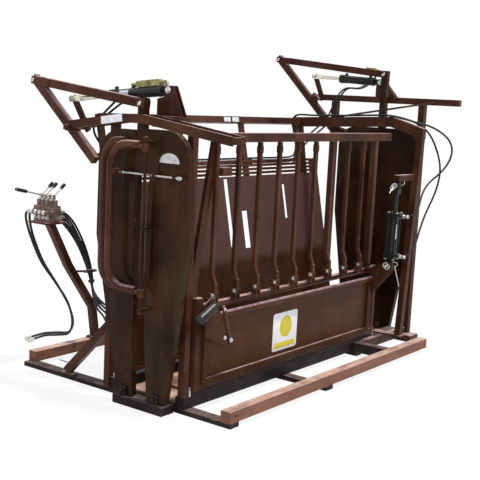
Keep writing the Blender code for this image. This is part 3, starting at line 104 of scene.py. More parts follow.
GATE_PINS_Y = (-0.145, 0.088)
NECK_PIN = (HEAD_X - 0.075, -0.066)
LATCH_X = HEAD_X - 0.056
LATCH_Z = 1.283
BANK_PORT = (-1.025, 0.992, 0.920)
BANK_PORT_PITCH = (0.040, 0.035)
LEVER_PIVOT = (-1.090, 1.052)
SUPPLY_PORTS_X = (-1.105, -1.075)
HOSE_RADIUS = 0.0085
SUPPLY_DIAMETER = 0.016
SUPPLY_ROUTES = (
    [(-1.105, 1.1103, 0.945), (-1.105, 1.150, 0.945), (-1.085, 1.195, 0.900), (-1.030, 1.215, 0.780),
     (-0.930, 1.225, 0.600), (-0.800, 1.225, 0.440), (-0.680, 1.235, 0.290), (-0.600, 1.270, 0.140),
     (-0.565, 1.340, 0.035), (-0.585, 1.420, 0.0105), (-0.650, 1.470, 0.0085), (-0.720, 1.465, 0.0085),
     (-0.765, 1.444, 0.0125), (-0.785, 1.437, 0.0145), (-0.800, 1.432, 0.0145)],
    [(-1.075, 1.1103, 0.945), (-1.075, 1.155, 0.945), (-1.050, 1.200, 0.890), (-0.990, 1.235, 0.770),
     (-0.890, 1.250, 0.590), (-0.760, 1.255, 0.420), (-0.640, 1.270, 0.260), (-0.555, 1.310, 0.120),
     (-0.525, 1.380, 0.030), (-0.545, 1.470, 0.0105), (-0.615, 1.520, 0.0085), (-0.700, 1.515, 0.0085),
     (-0.745, 1.498, 0.0125), (-0.765, 1.490, 0.0145), (-0.780, 1.485, 0.0145)])

far_place = (Matrix.Translation((0, SIDE_HINGE_Y, SIDE_HINGE_Z))
             @ Matrix.Rotation(-FAR_SLANT, 4, "X"))


# Camera, floor and light

def set_camera():
    camera = bpy.data.cameras.new("camera")
    camera.sensor_width = 36.0
    camera.lens = 71.12
    seen_right = Vector((0.6050, -0.7947, 0.0495))
    seen_up = Vector((0.0876, 0.1283, 0.9879))
    seen_back = Vector((-0.7914, -0.5934, 0.1472))
    turn = Matrix((seen_right, seen_up, seen_back)).transposed().to_4x4()
    holder = bpy.data.objects.new("camera", camera)
    holder.matrix_world = Matrix.Translation((-5.0, -3.43, 1.70)) @ turn
    bpy.context.scene.collection.objects.link(holder)
    bpy.context.scene.camera = holder
    bpy.context.scene.view_settings.view_transform = "Standard"


def seen_directly(nodes, links):
    """1 where the camera, a mirror-like surface or glass looks, 0 where light bounces."""
    path = nodes.new("ShaderNodeLightPath")
    first = nodes.new("ShaderNodeMath")
    first.operation = "MAXIMUM"
    second = nodes.new("ShaderNodeMath")
    second.operation = "MAXIMUM"
    links.new(path.outputs["Is Camera Ray"], first.inputs[0])
    links.new(path.outputs["Is Glossy Ray"], first.inputs[1])
    links.new(first.outputs[0], second.inputs[0])
    links.new(path.outputs["Is Transmission Ray"], second.inputs[1])
    return second.outputs[0]


def set_world():
    world = bpy.data.worlds.new("studio")
    bpy.context.scene.world = world
    world.use_nodes = True
    nodes = world.node_tree.nodes
    links = world.node_tree.links
    nodes.clear()
    soft = nodes.new("ShaderNodeBackground")
    soft.inputs["Color"].default_value = (0.80, 0.84, 1.0, 1.0)
    soft.inputs["Strength"].default_value = 0.66
    white = nodes.new("ShaderNodeBackground")
    white.inputs["Color"].default_value = (1.0, 1.0, 1.0, 1.0)
    white.inputs["Strength"].default_value = 1.0
    mix = nodes.new("ShaderNodeMixShader")
    out = nodes.new("ShaderNodeOutputWorld")
    links.new(seen_directly(nodes, links), mix.inputs["Fac"])
    links.new(soft.outputs[0], mix.inputs[1])
    links.new(white.outputs[0], mix.inputs[2])
    links.new(mix.outputs[0], out.inputs["Surface"])


def set_floor():
    made = bmesh.new()
    bmesh.ops.create_grid(made, x_segments=2, y_segments=2, size=30.0)
    bmesh.ops.translate(made, vec=(0, 0, -0.001), verts=made.verts)
    mesh = bpy.data.meshes.new("floor")
    made.to_mesh(mesh)
    made.free()
    floor = bpy.data.objects.new("floor", mesh)
    bpy.context.scene.collection.objects.link(floor)
    material = bpy.data.materials.new("pale_floor")
    material.use_nodes = True
    nodes = material.node_tree.nodes
    links = material.node_tree.links
    nodes.clear()
    plain = nodes.new("ShaderNodeBsdfDiffuse")
    plain.inputs["Color"].default_value = (0.80, 0.79, 0.78, 1.0)
    glow = nodes.new("ShaderNodeEmission")
    glow.inputs["Color"].default_value = (1.0, 1.0, 1.0, 1.0)
    share = nodes.new("ShaderNodeMath")
    share.operation = "MULTIPLY"
    share.inputs[1].default_value = 0.88
    mix = nodes.new("ShaderNodeMixShader")
    out = nodes.new("ShaderNodeOutputMaterial")
    links.new(seen_directly(nodes, links), share.inputs[0])
    links.new(share.outputs[0], mix.inputs["Fac"])
    links.new(plain.outputs[0], mix.inputs[1])
    links.new(glow.outputs[0], mix.inputs[2])
    links.new(mix.outputs[0], out.inputs["Surface"])
    mesh.materials.append(material)


def set_lamps():
    sun = bpy.data.lights.new("overhead_sun", "SUN")
    sun.energy = 3.4
    sun.angle = math.radians(4.0)
    sun.color = (1.0, 0.96, 0.90)
    holder = bpy.data.objects.new("overhead_sun", sun)
    holder.rotation_euler = Vector((-0.14, 0.24, -1.0)).to_track_quat("-Z", "Y").to_euler()
    bpy.context.scene.collection.objects.link(holder)

    soft = bpy.data.lights.new("soft_fill", "AREA")
    soft.energy = 190.0
    soft.shape = "RECTANGLE"
    soft.size = 5.0
    soft.size_y = 3.0
    soft.color = (0.93, 0.94, 1.0)
    holder = bpy.data.objects.new("soft_fill", soft)
    place = Vector((-5.5, -5.0, 4.0))
    holder.location = place
    holder.rotation_euler = (Vector((0, 0, 0.8)) - place).to_track_quat("-Z", "Y").to_euler()
    bpy.context.scene.collection.objects.link(holder)


# Finishes. Each is a small graph on Object coordinates.

class Graph:
    """A material's node graph, with short calls for the nodes that the finishes share."""

    def __init__(self, name):
        self.material = bpy.data.materials.new(name)
        self.material.use_nodes = True
        self.nodes = self.material.node_tree.nodes
        self.links = self.material.node_tree.links
        self.shader = self.nodes["Principled BSDF"]
        self.coords = self.nodes.new("ShaderNodeTexCoord").outputs["Object"]

    def noise(self, scale, detail=4.0, roughness=0.55, stretch=(1, 1, 1)):
        mapping = self.nodes.new("ShaderNodeMapping")
        mapping.inputs["Scale"].default_value = stretch
        self.links.new(self.coords, mapping.inputs["Vector"])
        node = self.nodes.new("ShaderNodeTexNoise")
        node.inputs["Scale"].default_value = scale
        node.inputs["Detail"].default_value = detail
        node.inputs["Roughness"].default_value = roughness
        self.links.new(mapping.outputs["Vector"], node.inputs["Vector"])
        return node.outputs["Fac"]

    def ramp(self, value, stops):
        node = self.nodes.new("ShaderNodeValToRGB")
        elements = node.color_ramp.elements
        while len(elements) < len(stops):
            elements.new(0.5)
        for element, (place, colour) in zip(elements, stops):
            element.position = place
            element.color = (*colour, 1.0) if len(colour) == 3 else colour
        self.links.new(value, node.inputs["Fac"])
        return node.outputs["Color"]

    def band(self, value, low, high, top=1.0):
        """0 below low, rising to top at high."""
        node = self.nodes.new("ShaderNodeMapRange")
        node.inputs["From Min"].default_value = low
        node.inputs["From Max"].default_value = high
        node.inputs["To Min"].default_value = 0.0
        node.inputs["To Max"].default_value = top
        self.links.new(value, node.inputs["Value"])
        return node.outputs["Result"]

    def times(self, first, second):
        node = self.nodes.new("ShaderNodeMath")
        node.operation = "MULTIPLY"
        self.links.new(first, node.inputs[0])
        self.links.new(second, node.inputs[1])
        return node.outputs[0]

    def height_with(self, ragged, amount):
        """The height above the ground, made uneven by a noise."""
        split = self.nodes.new("ShaderNodeSeparateXYZ")
        self.links.new(self.coords, split.inputs[0])
        node = self.nodes.new("ShaderNodeMath")
        node.operation = "MULTIPLY_ADD"
        node.inputs[1].default_value = amount
        self.links.new(ragged, node.inputs[0])
        self.links.new(split.outputs["Z"], node.inputs[2])
        return node.outputs[0]

    def mix(self, share, first, second):
        node = self.nodes.new("ShaderNodeMix")
        node.data_type = "RGBA"
        self.links.new(share, node.inputs["Factor"])
        for side, colour in (("A", first), ("B", second)):
            socket = next(s for s in node.inputs if s.identifier == side + "_Color")
            if isinstance(colour, tuple):
                socket.default_value = (*colour, 1.0)
            else:
                self.links.new(colour, socket)
        return next(s for s in node.outputs if s.identifier == "Result_Color")

    def upward(self, low, high):
        """1 on faces that look at the sky, where dust lies and the sun bleaches, and where some finishes
        paint a sunlit highlight.
        """
        normal = self.nodes.new("ShaderNodeNewGeometry").outputs["Normal"]
        split = self.nodes.new("ShaderNodeSeparateXYZ")
        self.links.new(normal, split.inputs[0])
        return self.band(split.outputs["Z"], low, high)

    def bump(self, height, strength, distance):
        node = self.nodes.new("ShaderNodeBump")
        node.inputs["Strength"].default_value = strength
        node.inputs["Distance"].default_value = distance
        self.links.new(height, node.inputs["Height"])
        self.links.new(node.outputs["Normal"], self.shader.inputs["Normal"])

    def colour(self, socket):
        self.links.new(socket, self.shader.inputs["Base Color"])

    def rough(self, socket):
        self.links.new(socket, self.shader.inputs["Roughness"])


def gloss_paint(name, dark, middle, light, dust_and_sunlit_top, dust_and_sunlit_share, rough_low=0.20, rough_high=0.45, painted_sunlight=None,
                painted_highlight_streaks=None):
    """Sprayed gloss paint: cloudy tone, dust and a painted sunlit sheen on top faces, small rust spots and an
    orange-peel skin.

    Given a height band, the paint is lighter above a ragged level: a painted patch of sunlight. The upright
    streaks are dark unless another colour is given; a lighter one paints glossy highlight bands.
    """
    graph = Graph(name)
    cloud = graph.noise(3.2, 5.0, 0.6)
    base = graph.ramp(cloud, [(0.30, dark), (0.52, middle), (0.78, light)])
    streak = graph.noise(9.0, 3.0, 0.6, (1.0, 1.0, 0.18))
    # Upright streaks: dark stains by default; given a lighter colour, as in the gates' paint, they are
    # painted glossy highlight bands.
    base = graph.mix(graph.band(streak, 0.50, 0.72, 0.60), base, painted_highlight_streaks or dark)
    speck = graph.noise(85.0, 3.0, 0.7)
    patch = graph.noise(6.0, 2.0, 0.5)
    rust = graph.times(graph.band(speck, 0.60, 0.68), graph.band(patch, 0.52, 0.66))
    base = graph.mix(rust, base, (0.16, 0.050, 0.018))
    # Painted sunlight: a lighter colour above a ragged height.
    if painted_sunlight:
        low, high, sunlit_colour, share = painted_sunlight
        level = graph.height_with(graph.noise(24.0, 4.0, 0.7), 0.05)
        base = graph.mix(graph.band(level, low, high, share), base, sunlit_colour)
    grain = graph.noise(30.0, 4.0, 0.7)
    # Top faces take dust and a painted sunlit sheen together, in the pale colour given for them.
    top_face_share = graph.times(graph.upward(0.55, 0.95), graph.band(grain, 0.20, 0.60, dust_and_sunlit_share))
    base = graph.mix(top_face_share, base, dust_and_sunlit_top)
    graph.colour(base)
    wear = graph.noise(14.0, 4.0, 0.6)
    gloss = graph.ramp(wear, [(0.30, (rough_low,) * 3), (0.75, (rough_high,) * 3)])
    graph.rough(graph.mix(top_face_share, gloss, (0.62, 0.62, 0.62)))
    graph.shader.inputs["Specular IOR Level"].default_value = 0.08
    graph.bump(graph.noise(260.0, 2.0, 0.5), 0.10, 0.0008)
    return graph.material


def rubbed_edge(name, dark, light, bare):
    """The rounded edges of painted steel, where handling has rubbed the paint thin in patches."""
    graph = Graph(name)
    base = graph.ramp(graph.noise(8.0, 4.0, 0.6), [(0.30, dark), (0.72, light)])
    patch = graph.noise(42.0, 4.0, 0.7)
    graph.colour(graph.mix(graph.band(patch, 0.46, 0.62, 0.75), base, bare))
    graph.rough(graph.ramp(patch, [(0.35, (0.28,) * 3), (0.65, (0.52,) * 3)]))
    graph.shader.inputs["Specular IOR Level"].default_value = 0.15
    graph.bump(graph.noise(200.0, 2.0, 0.6), 0.15, 0.0005)
    return graph.material


def weathered_paint(name):
    """Paint that is walked on and rained on: worn through to rust, bleached on top, where a painted sunlit
    highlight lies too.
    """
    graph = Graph(name)
    cloud = graph.noise(5.0, 6.0, 0.65, (0.5, 1.0, 1.0))
    base = graph.ramp(cloud, [(0.28, (0.045, 0.014, 0.006)), (0.50, (0.135, 0.045, 0.020)),
                              (0.75, (0.215, 0.085, 0.045))])
    speck = graph.noise(60.0, 4.0, 0.75)
    base = graph.mix(graph.band(speck, 0.56, 0.70, 0.8), base, (0.17, 0.062, 0.026))
    grain = graph.noise(16.0, 5.0, 0.7, (0.4, 1.0, 1.0))
    # Top faces: bleach and dust, with a painted sunlit highlight in the same pale pink.
    bleached_and_sunlit = graph.times(graph.upward(0.5, 0.95), graph.band(grain, 0.22, 0.52, 0.92))
    top = graph.ramp(graph.noise(11.0, 4.0, 0.7),
                     [(0.30, (0.36, 0.205, 0.150)), (0.70, (0.60, 0.42, 0.35))])
    graph.colour(graph.mix(bleached_and_sunlit, base, top))
    graph.rough(graph.ramp(speck, [(0.3, (0.42,) * 3), (0.7, (0.75,) * 3)]))
    graph.bump(speck, 0.25, 0.0012)
    return graph.material


def black_enamel(name):
    graph = Graph(name)
    cloud = graph.noise(18.0, 4.0, 0.6)
    base = graph.ramp(cloud, [(0.30, (0.008, 0.008, 0.009)), (0.70, (0.022, 0.021, 0.021))])
    grain = graph.noise(55.0, 4.0, 0.7)
    top_face_share = graph.times(graph.upward(0.4, 0.95), graph.band(grain, 0.35, 0.70, 0.35))
    graph.colour(graph.mix(top_face_share, base, (0.20, 0.17, 0.15)))
    graph.rough(graph.ramp(grain, [(0.3, (0.22,) * 3), (0.75, (0.42,) * 3)]))
    graph.shader.inputs["Specular IOR Level"].default_value = 0.25
    graph.bump(graph.noise(220.0, 2.0, 0.5), 0.12, 0.0006)
    return graph.material


def plated_steel(name, low, high, rough_low, rough_high, tarnish):
    """Plated or machined steel with cloudy tarnish and fine turning marks."""
    graph = Graph(name)
    cloud = graph.noise(26.0, 5.0, 0.65)
    base = graph.ramp(cloud, [(0.30, low), (0.70, high)])
    stain = graph.noise(70.0, 4.0, 0.7)
    graph.colour(graph.mix(graph.band(stain, 0.58, 0.72, 0.7), base, tarnish))
    marks = graph.noise(120.0, 3.0, 0.6)
    graph.rough(graph.ramp(marks, [(0.3, (rough_low,) * 3), (0.7, (rough_high,) * 3)]))
    graph.shader.inputs["Metallic"].default_value = 0.9
    graph.bump(graph.noise(300.0, 2.0, 0.5), 0.10, 0.0005)
    return graph.material


def olive_enamel(name):
    graph = Graph(name)
    cloud = graph.noise(22.0, 5.0, 0.65)
    base = graph.ramp(cloud, [(0.30, (0.12, 0.11, 0.030)), (0.55, (0.30, 0.28, 0.08)),
                              (0.80, (0.42, 0.39, 0.16))])
    stain = graph.noise(48.0, 4.0, 0.7)
    graph.colour(graph.mix(graph.band(stain, 0.50, 0.64, 0.85), base, (0.040, 0.032, 0.020)))
    graph.rough(graph.ramp(stain, [(0.3, (0.28,) * 3), (0.7, (0.55,) * 3)]))
    graph.bump(graph.noise(180.0, 3.0, 0.6), 0.2, 0.0008)
    return graph.material


def cast_iron(name):
    """The valve bank: bare castings, brown with old oil and dust, with bright machined places."""
    graph = Graph(name)
    cloud = graph.noise(30.0, 5.0, 0.65)
    base = graph.ramp(cloud, [(0.28, (0.060, 0.036, 0.028)), (0.52, (0.185, 0.120, 0.095)),
                              (0.80, (0.36, 0.26, 0.21))])
    stain = graph.noise(60.0, 4.0, 0.7)
    graph.colour(graph.mix(graph.band(stain, 0.52, 0.66, 0.8), base, (0.030, 0.020, 0.016)))
    graph.rough(graph.ramp(stain, [(0.3, (0.35,) * 3), (0.7, (0.65,) * 3)]))
    graph.shader.inputs["Metallic"].default_value = 0.25
    graph.bump(graph.noise(150.0, 3.0, 0.6), 0.25, 0.0008)
    return graph.material


def hose_rubber(name):
    """The wrapped cover of a hydraulic hose: black, with the faint marks of its cloth wrap and dust."""
    graph = Graph(name)
    wrap = graph.noise(150.0, 2.0, 0.5)
    base = graph.ramp(graph.noise(12.0, 4.0, 0.6),
                      [(0.30, (0.006, 0.006, 0.0065)), (0.75, (0.016, 0.0155, 0.0155))])
    grain = graph.noise(40.0, 4.0, 0.7)
    top_face_share = graph.times(graph.upward(0.2, 0.9), graph.band(grain, 0.40, 0.70, 0.20))
    graph.colour(graph.mix(top_face_share, base, (0.22, 0.20, 0.18)))
    graph.rough(graph.ramp(grain, [(0.3, (0.38,) * 3), (0.7, (0.60,) * 3)]))
    graph.shader.inputs["Specular IOR Level"].default_value = 0.25
    graph.bump(wrap, 0.30, 0.0006)
    return graph.material


def label_vinyl(name, low, high):
    graph = Graph(name)
    cloud = graph.noise(30.0, 4.0, 0.65)
    graph.colour(graph.ramp(cloud, [(0.25, low), (0.65, high)]))
    graph.rough(graph.ramp(graph.noise(80.0, 3.0, 0.6), [(0.3, (0.30,) * 3), (0.7, (0.50,) * 3)]))
    graph.bump(graph.noise(90.0, 2.0, 0.5), 0.06, 0.0004)
    return graph.material


# In each gloss paint, the pale colour after the three tones is laid on top faces: dust together with a
# painted sunlit sheen.
BROWN = gloss_paint("brown_gloss_paint", (0.022, 0.0082, 0.0048), (0.060, 0.0225, 0.0125),
                    (0.105, 0.044, 0.027), (0.56, 0.38, 0.37), 0.85)
SHEET_BROWN = gloss_paint("sheet_gloss_paint", (0.038, 0.0125, 0.0046), (0.054, 0.0178, 0.0066),
                          (0.076, 0.0262, 0.0100), (0.46, 0.33, 0.36), 0.75, 0.20, 0.38)
# The gates' paint: the frame's brown made much darker, as painted shade.
SHADED_GATE_BROWN = gloss_paint("gate_gloss_paint", (0.010, 0.0036, 0.0017), (0.024, 0.0090, 0.0041),
                         (0.048, 0.0190, 0.0092), (0.32, 0.20, 0.17), 0.40, 0.16, 0.32,
                         # Lighter upright streaks: painted glossy highlight bands.
                         painted_highlight_streaks=(0.046, 0.030, 0.0110))
# The far sheet's paint, with a painted patch of sunlight on its upper part.
SUNLIT_SHEET_BROWN = gloss_paint("painted_sunlight_sheet_paint", (0.027, 0.0094, 0.0042), (0.042, 0.0148, 0.0066),
                          (0.064, 0.024, 0.0115), (0.36, 0.20, 0.16), 0.35, 0.24, 0.42,
                          painted_sunlight=(0.64, 0.70, (0.150, 0.088, 0.084), 0.38))
# The low rails' and sill's paint: the frame's brown made near black, as painted shade under the chute.
SHADED_SILL_BROWN = gloss_paint("sill_paint", (0.008, 0.005, 0.005), (0.020, 0.013, 0.0135), (0.045, 0.031, 0.032),
                         (0.34, 0.26, 0.24), 0.40, 0.35, 0.60)
WEATHERED = weathered_paint("weathered_paint")
BLACK = black_enamel("black_enamel")
ZINC = plated_steel("zinc_plate", (0.42, 0.41, 0.39), (0.72, 0.71, 0.69), 0.28, 0.45,
                    (0.20, 0.17, 0.14))
CHROME = plated_steel("chromed_rod", (0.66, 0.62, 0.50), (0.86, 0.83, 0.72), 0.10, 0.22,
                      (0.38, 0.33, 0.22))
BANK_CAST = cast_iron("valve_casting")
OLIVE = olive_enamel("olive_enamel")
RUBBER = hose_rubber("hose_rubber")
WHITE_VINYL = label_vinyl("white_vinyl", (0.56, 0.56, 0.54), (0.72, 0.72, 0.71))
YELLOW_VINYL = label_vinyl("yellow_vinyl", (0.44, 0.35, 0.008), (0.58, 0.48, 0.02))
PALE_PLATE = plated_steel("stamped_plate", (0.45, 0.43, 0.44), (0.74, 0.72, 0.73), 0.28, 0.45,
                          (0.25, 0.22, 0.20))

BROWN_EDGE = rubbed_edge("brown_paint_edge", (0.030, 0.0115, 0.0068), (0.090, 0.038, 0.023),
                         (0.230, 0.125, 0.085))
SHEET_EDGE = rubbed_edge("sheet_paint_edge", (0.036, 0.0125, 0.0050), (0.080, 0.030, 0.0125),
                         (0.200, 0.105, 0.060))
# The gates' edges, darkened with their paint as painted shade.
SHADED_GATE_EDGE = rubbed_edge("gate_paint_edge", (0.016, 0.0060, 0.0028), (0.060, 0.026, 0.0120),
                        (0.170, 0.095, 0.060))
# The low rails' edges, darkened with their paint as painted shade.
SHADED_SILL_EDGE = rubbed_edge("sill_paint_edge", (0.012, 0.0080, 0.0080), (0.050, 0.034, 0.034),
                        (0.160, 0.105, 0.085))
WEATHERED_EDGE = rubbed_edge("weathered_paint_edge", (0.080, 0.028, 0.013), (0.230, 0.100, 0.056),
                             (0.500, 0.340, 0.260))

# What a piece's rounded edges are painted with, for each finish
EDGES = {BROWN: BROWN_EDGE, SHEET_BROWN: SHEET_EDGE, SUNLIT_SHEET_BROWN: SHEET_EDGE, SHADED_GATE_BROWN: SHADED_GATE_EDGE,
         SHADED_SILL_BROWN: SHADED_SILL_EDGE, WEATHERED: WEATHERED_EDGE}


# Pieces

# The angle in degrees from which an edge counts as a crease and is rounded
CREASE = 30.0


def piece(name, shape, material, body, sharp=35.0):
    """A finished piece from a bmesh, riding on a body."""
    mesh = bpy.data.meshes.new(name)
    shape.to_mesh(mesh)
    shape.free()
    mesh.shade_smooth()
    mesh.set_sharp_from_angle(angle=math.radians(sharp))
    made = bpy.data.objects.new(name, mesh)
    bpy.context.scene.collection.objects.link(made)
    mesh.materials.append(material)
    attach(made, body)
    return made


def body_of(node):
    return frame["nodes"][node]["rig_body"]


def dress(node, material, edge, segments=2):
    """The node's own shape with its edges rounded, so that they catch the light."""
    source = frame["nodes"][node]
    shape = bmesh.new()
    shape.from_mesh(source.data)
    bmesh.ops.remove_doubles(shape, verts=shape.verts, dist=0.00002)
    bmesh.ops.dissolve_limit(shape, angle_limit=math.radians(1.0), verts=shape.verts, edges=shape.edges)
    made = piece("dressed_" + node, shape, material, body_of(node), CREASE)
    if edge > 0:
        rounding = made.modifiers.new("edges", "BEVEL")
        rounding.width = edge
        rounding.segments = segments
        rounding.limit_method = "ANGLE"
        rounding.angle_limit = math.radians(CREASE)
        rounding.use_clamp_overlap = True
        rounding.harden_normals = True
        if material in EDGES:
            made.data.materials.append(EDGES[material])
            rounding.material = 1
    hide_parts(node)
    return made


def dress_hoses(node):
    """Held hoses, made round and smooth from the frame's plain tubes."""
    source = frame["nodes"][node]
    shape = bmesh.new()
    shape.from_mesh(source.data)
    bmesh.ops.remove_doubles(shape, verts=shape.verts, dist=0.00002)
    bmesh.ops.join_triangles(shape, faces=shape.faces, cmp_seam=False, cmp_sharp=False, cmp_uvs=False,
                             cmp_vcols=False, cmp_materials=False, angle_face_threshold=math.radians(40),
                             angle_shape_threshold=math.radians(60))
    shape.normal_update()
    shift = {vertex: vertex.normal * 0.0015 for vertex in shape.verts}
    for vertex, move in shift.items():
        vertex.co += move
    made = piece("dressed_" + node, shape, RUBBER, body_of(node), 180.0)
    finer = made.modifiers.new("round", "SUBSURF")
    finer.levels = 2
    finer.render_levels = 2
    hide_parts(node)
    return made


def smooth_route(points, spacing):
    """Points at an even spacing on the smooth curve that passes through the route's points."""
    route = [Vector(point) for point in points]
    fine = []
    for index in range(len(route) - 1):
        before = route[max(index - 1, 0)]
        first = route[index]
        second = route[index + 1]
        after = route[min(index + 2, len(route) - 1)]
        for step in range(24):
            t = step / 24
            fine.append((2 * first + (second - before) * t
                         + (2 * before - 5 * first + 4 * second - after) * t ** 2
                         + (3 * first - before - 3 * second + after) * t ** 3) / 2)
    fine.append(route[-1])
    total = sum((fine[i + 1] - fine[i]).length for i in range(len(fine) - 1))
    count = max(2, round(total / spacing))
    result = [fine[0]]
    wanted = total / count
    travelled = 0.0
    for i in range(len(fine) - 1):
        stretch = (fine[i + 1] - fine[i]).length
        while travelled + stretch >= wanted * len(result) and len(result) < count:
            result.append(fine[i].lerp(fine[i + 1], (wanted * len(result) - travelled) / stretch))
        travelled += stretch
    result.append(fine[-1])
    return result


def supply_hose(number, route):
    """One of the two loose supply hoses, from the valve bank down to the ground."""
    points = smooth_route(route, 0.020)
    curve = bpy.data.curves.new("supply_line_%d" % number, "CURVE")
    curve.dimensions = "3D"
    curve.bevel_depth = SUPPLY_DIAMETER / 2
    curve.bevel_resolution = 4
    curve.use_fill_caps = True
    spline = curve.splines.new("POLY")
    spline.points.add(len(points) - 1)
    for place, point in zip(spline.points, points):
        place.co = (*point, 1.0)
    spline.use_smooth = True
    made = bpy.data.objects.new("supply_line_%d" % number, curve)
    bpy.context.scene.collection.objects.link(made)
    curve.materials.append(RUBBER)
    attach(made, "frame")
    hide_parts("supply_hose_%d" % number)
    coupler = dress("supply_coupler_%d" % number, ZINC, 0.0012)


# Small shapes. Each starts at the origin and points along +Z.

def turned(profile, sides, closed=False):
    """A profile of (radius, height) turned about the Z axis.

    The profile starts and ends on the axis. A closed one is a band, and runs back to its start.
    """
    shape = bmesh.new()
    verts = [shape.verts.new((radius, 0, height)) for radius, height in profile]
    pairs = list(zip(verts, verts[1:]))
    if closed:
        pairs.insert(0, (verts[-1], verts[0]))
    edges = [shape.edges.new(pair) for pair in pairs]
    bmesh.ops.spin(shape, geom=verts + edges, cent=(0, 0, 0), axis=(0, 0, 1), dvec=(0, 0, 0),
                   angle=math.tau, steps=sides, use_merge=True, use_duplicate=False)
    bmesh.ops.remove_doubles(shape, verts=shape.verts, dist=0.00001)
    bmesh.ops.recalc_face_normals(shape, faces=shape.faces)
    return shape


def hexagon(across, height):
    """A six-sided head or nut with its top corners chamfered."""
    shape = bmesh.new()
    bmesh.ops.create_cone(shape, cap_ends=True, cap_tris=False, segments=6, radius1=across * 0.577,
                          radius2=across * 0.577, depth=height)
    bmesh.ops.translate(shape, vec=(0, 0, height / 2), verts=shape.verts)
    rim = [edge for edge in shape.edges if min(v.co.z for v in edge.verts) > height * 0.9]
    bmesh.ops.bevel(shape, geom=rim, offset=across * 0.09, offset_type="OFFSET", affect="EDGES", segments=2,
                    profile=0.5, material=-1)
    return shape


def washer(radius, height):
    edge = height * 0.3
    return turned([(0, 0), (radius, 0), (radius, height - edge), (radius - edge, height), (0, height)], 24)


def wire_ring(radius, wire, stretch):
    """A ring of round wire that lies in the XY plane."""
    shape = bmesh.new()
    made = bmesh.ops.create_circle(shape, cap_ends=False, segments=8, radius=wire)
    bmesh.ops.rotate(shape, cent=(0, 0, 0), matrix=Matrix.Rotation(math.pi / 2, 3, "X"), verts=made["verts"])
    bmesh.ops.translate(shape, vec=(radius, 0, 0), verts=made["verts"])
    bmesh.ops.spin(shape, geom=shape.verts[:] + shape.edges[:], cent=(0, 0, 0), axis=(0, 0, 1),
                   dvec=(0, 0, 0), angle=math.tau, steps=28, use_merge=True, use_duplicate=False)
    bmesh.ops.remove_doubles(shape, verts=shape.verts, dist=0.00001)
    bmesh.ops.scale(shape, vec=(stretch, 1, 1), verts=shape.verts)
    bmesh.ops.recalc_face_normals(shape, faces=shape.faces)
    return shape


def rounded_plate(width, height, thickness, corner):
    """A flat plate with rounded corners, centred on the origin, its back at z = 0."""
    shape = bmesh.new()
    bmesh.ops.create_cube(shape, size=1.0)
    bmesh.ops.scale(shape, vec=(width, height, thickness), verts=shape.verts)
    bmesh.ops.translate(shape, vec=(0, 0, thickness / 2), verts=shape.verts)
    upright = [edge for edge in shape.edges
               if abs(edge.verts[0].co.z - edge.verts[1].co.z) > thickness * 0.5]
    bmesh.ops.bevel(shape, geom=upright, offset=corner, offset_type="OFFSET", affect="EDGES", segments=5,
                    profile=0.5, material=-1)
    front = [edge for edge in shape.edges if min(v.co.z for v in edge.verts) > thickness * 0.9]
    bmesh.ops.bevel(shape, geom=front, offset=thickness * 0.3, offset_type="OFFSET", affect="EDGES",
                    segments=2, profile=0.5, material=-1)
    return shape


def half_disc(width, height, thickness):
    """Half of a flat disc, its straight side down and centred on the origin."""
    shape = bmesh.new()
    bmesh.ops.create_circle(shape, cap_ends=True, segments=48, radius=1.0)
    bmesh.ops.bisect_plane(shape, geom=shape.verts[:] + shape.edges[:] + shape.faces[:], dist=0.00001,
                           plane_co=(0, 0, 0), plane_no=(0, -1, 0), clear_outer=True)
    bmesh.ops.scale(shape, vec=(width / 2, height, 1), verts=shape.verts)
    grown = bmesh.ops.extrude_face_region(shape, geom=shape.faces[:])
    moved = [item for item in grown["geom"] if isinstance(item, bmesh.types.BMVert)]
    bmesh.ops.translate(shape, vec=(0, 0, thickness), verts=moved)
    bmesh.ops.recalc_face_normals(shape, faces=shape.faces)
    return shape


def crimped_end(radius, length):
    """The nut and the crimped collar on the end of a hose, seen from the port outwards."""
    shape = hexagon(radius * 3.0, 0.013)
    collar = [(0, 0.012), (radius * 0.95, 0.012), (radius * 0.95, 0.017), (radius * 1.42, 0.018)]
    step = (length - 0.022) / 3
    for ring in range(3):
        start = 0.018 + ring * step
        collar += [(radius * 1.42, start + step * 0.70), (radius * 1.26, start + step * 0.80),
                   (radius * 1.26, start + step * 0.95), (radius * 1.42, start + step)]
    collar += [(radius * 1.18, length), (0, length)]
    join(shape, turned(collar, 18), Matrix.Identity(4))
    return shape


def weld_bead(length, radius):
    """A rippled run of weld metal, half sunk in its joint."""
    count = max(3, round(length / (radius * 1.3)))
    step = length / count
    profile = [(0, 0)]
    for index in range(count):
        profile += [(radius * 0.82, (index + 0.08) * step), (radius * 1.02, (index + 0.50) * step)]
    profile += [(radius * 0.8, length - step * 0.05), (0, length)]
    return turned(profile, 8)


def join(shape, part, place):
    """Adds a part to a shape and frees the part."""
    bmesh.ops.transform(part, matrix=place, verts=part.verts)
    carrier = bpy.data.meshes.new("carrier")
    part.to_mesh(carrier)
    part.free()
    shape.from_mesh(carrier)
    bpy.data.meshes.remove(carrier)


def aimed(centre, axis, roll=0.0):
    """Puts a small shape at a centre with its +Z along the axis."""
    turn = Vector(axis).normalized().to_track_quat("Z", "Y").to_matrix().to_4x4()
    return Matrix.Translation(centre) @ turn @ Matrix.Rotation(roll, 4, "Z")


def laid(centre, along, up):
    """Puts a flat shape at a centre with its X along one direction and its Y up another."""
    x = Vector(along).normalized()
    z = x.cross(Vector(up)).normalized()
    y = z.cross(x)
    return Matrix.Translation(centre) @ Matrix((x, y, z)).transposed().to_4x4()


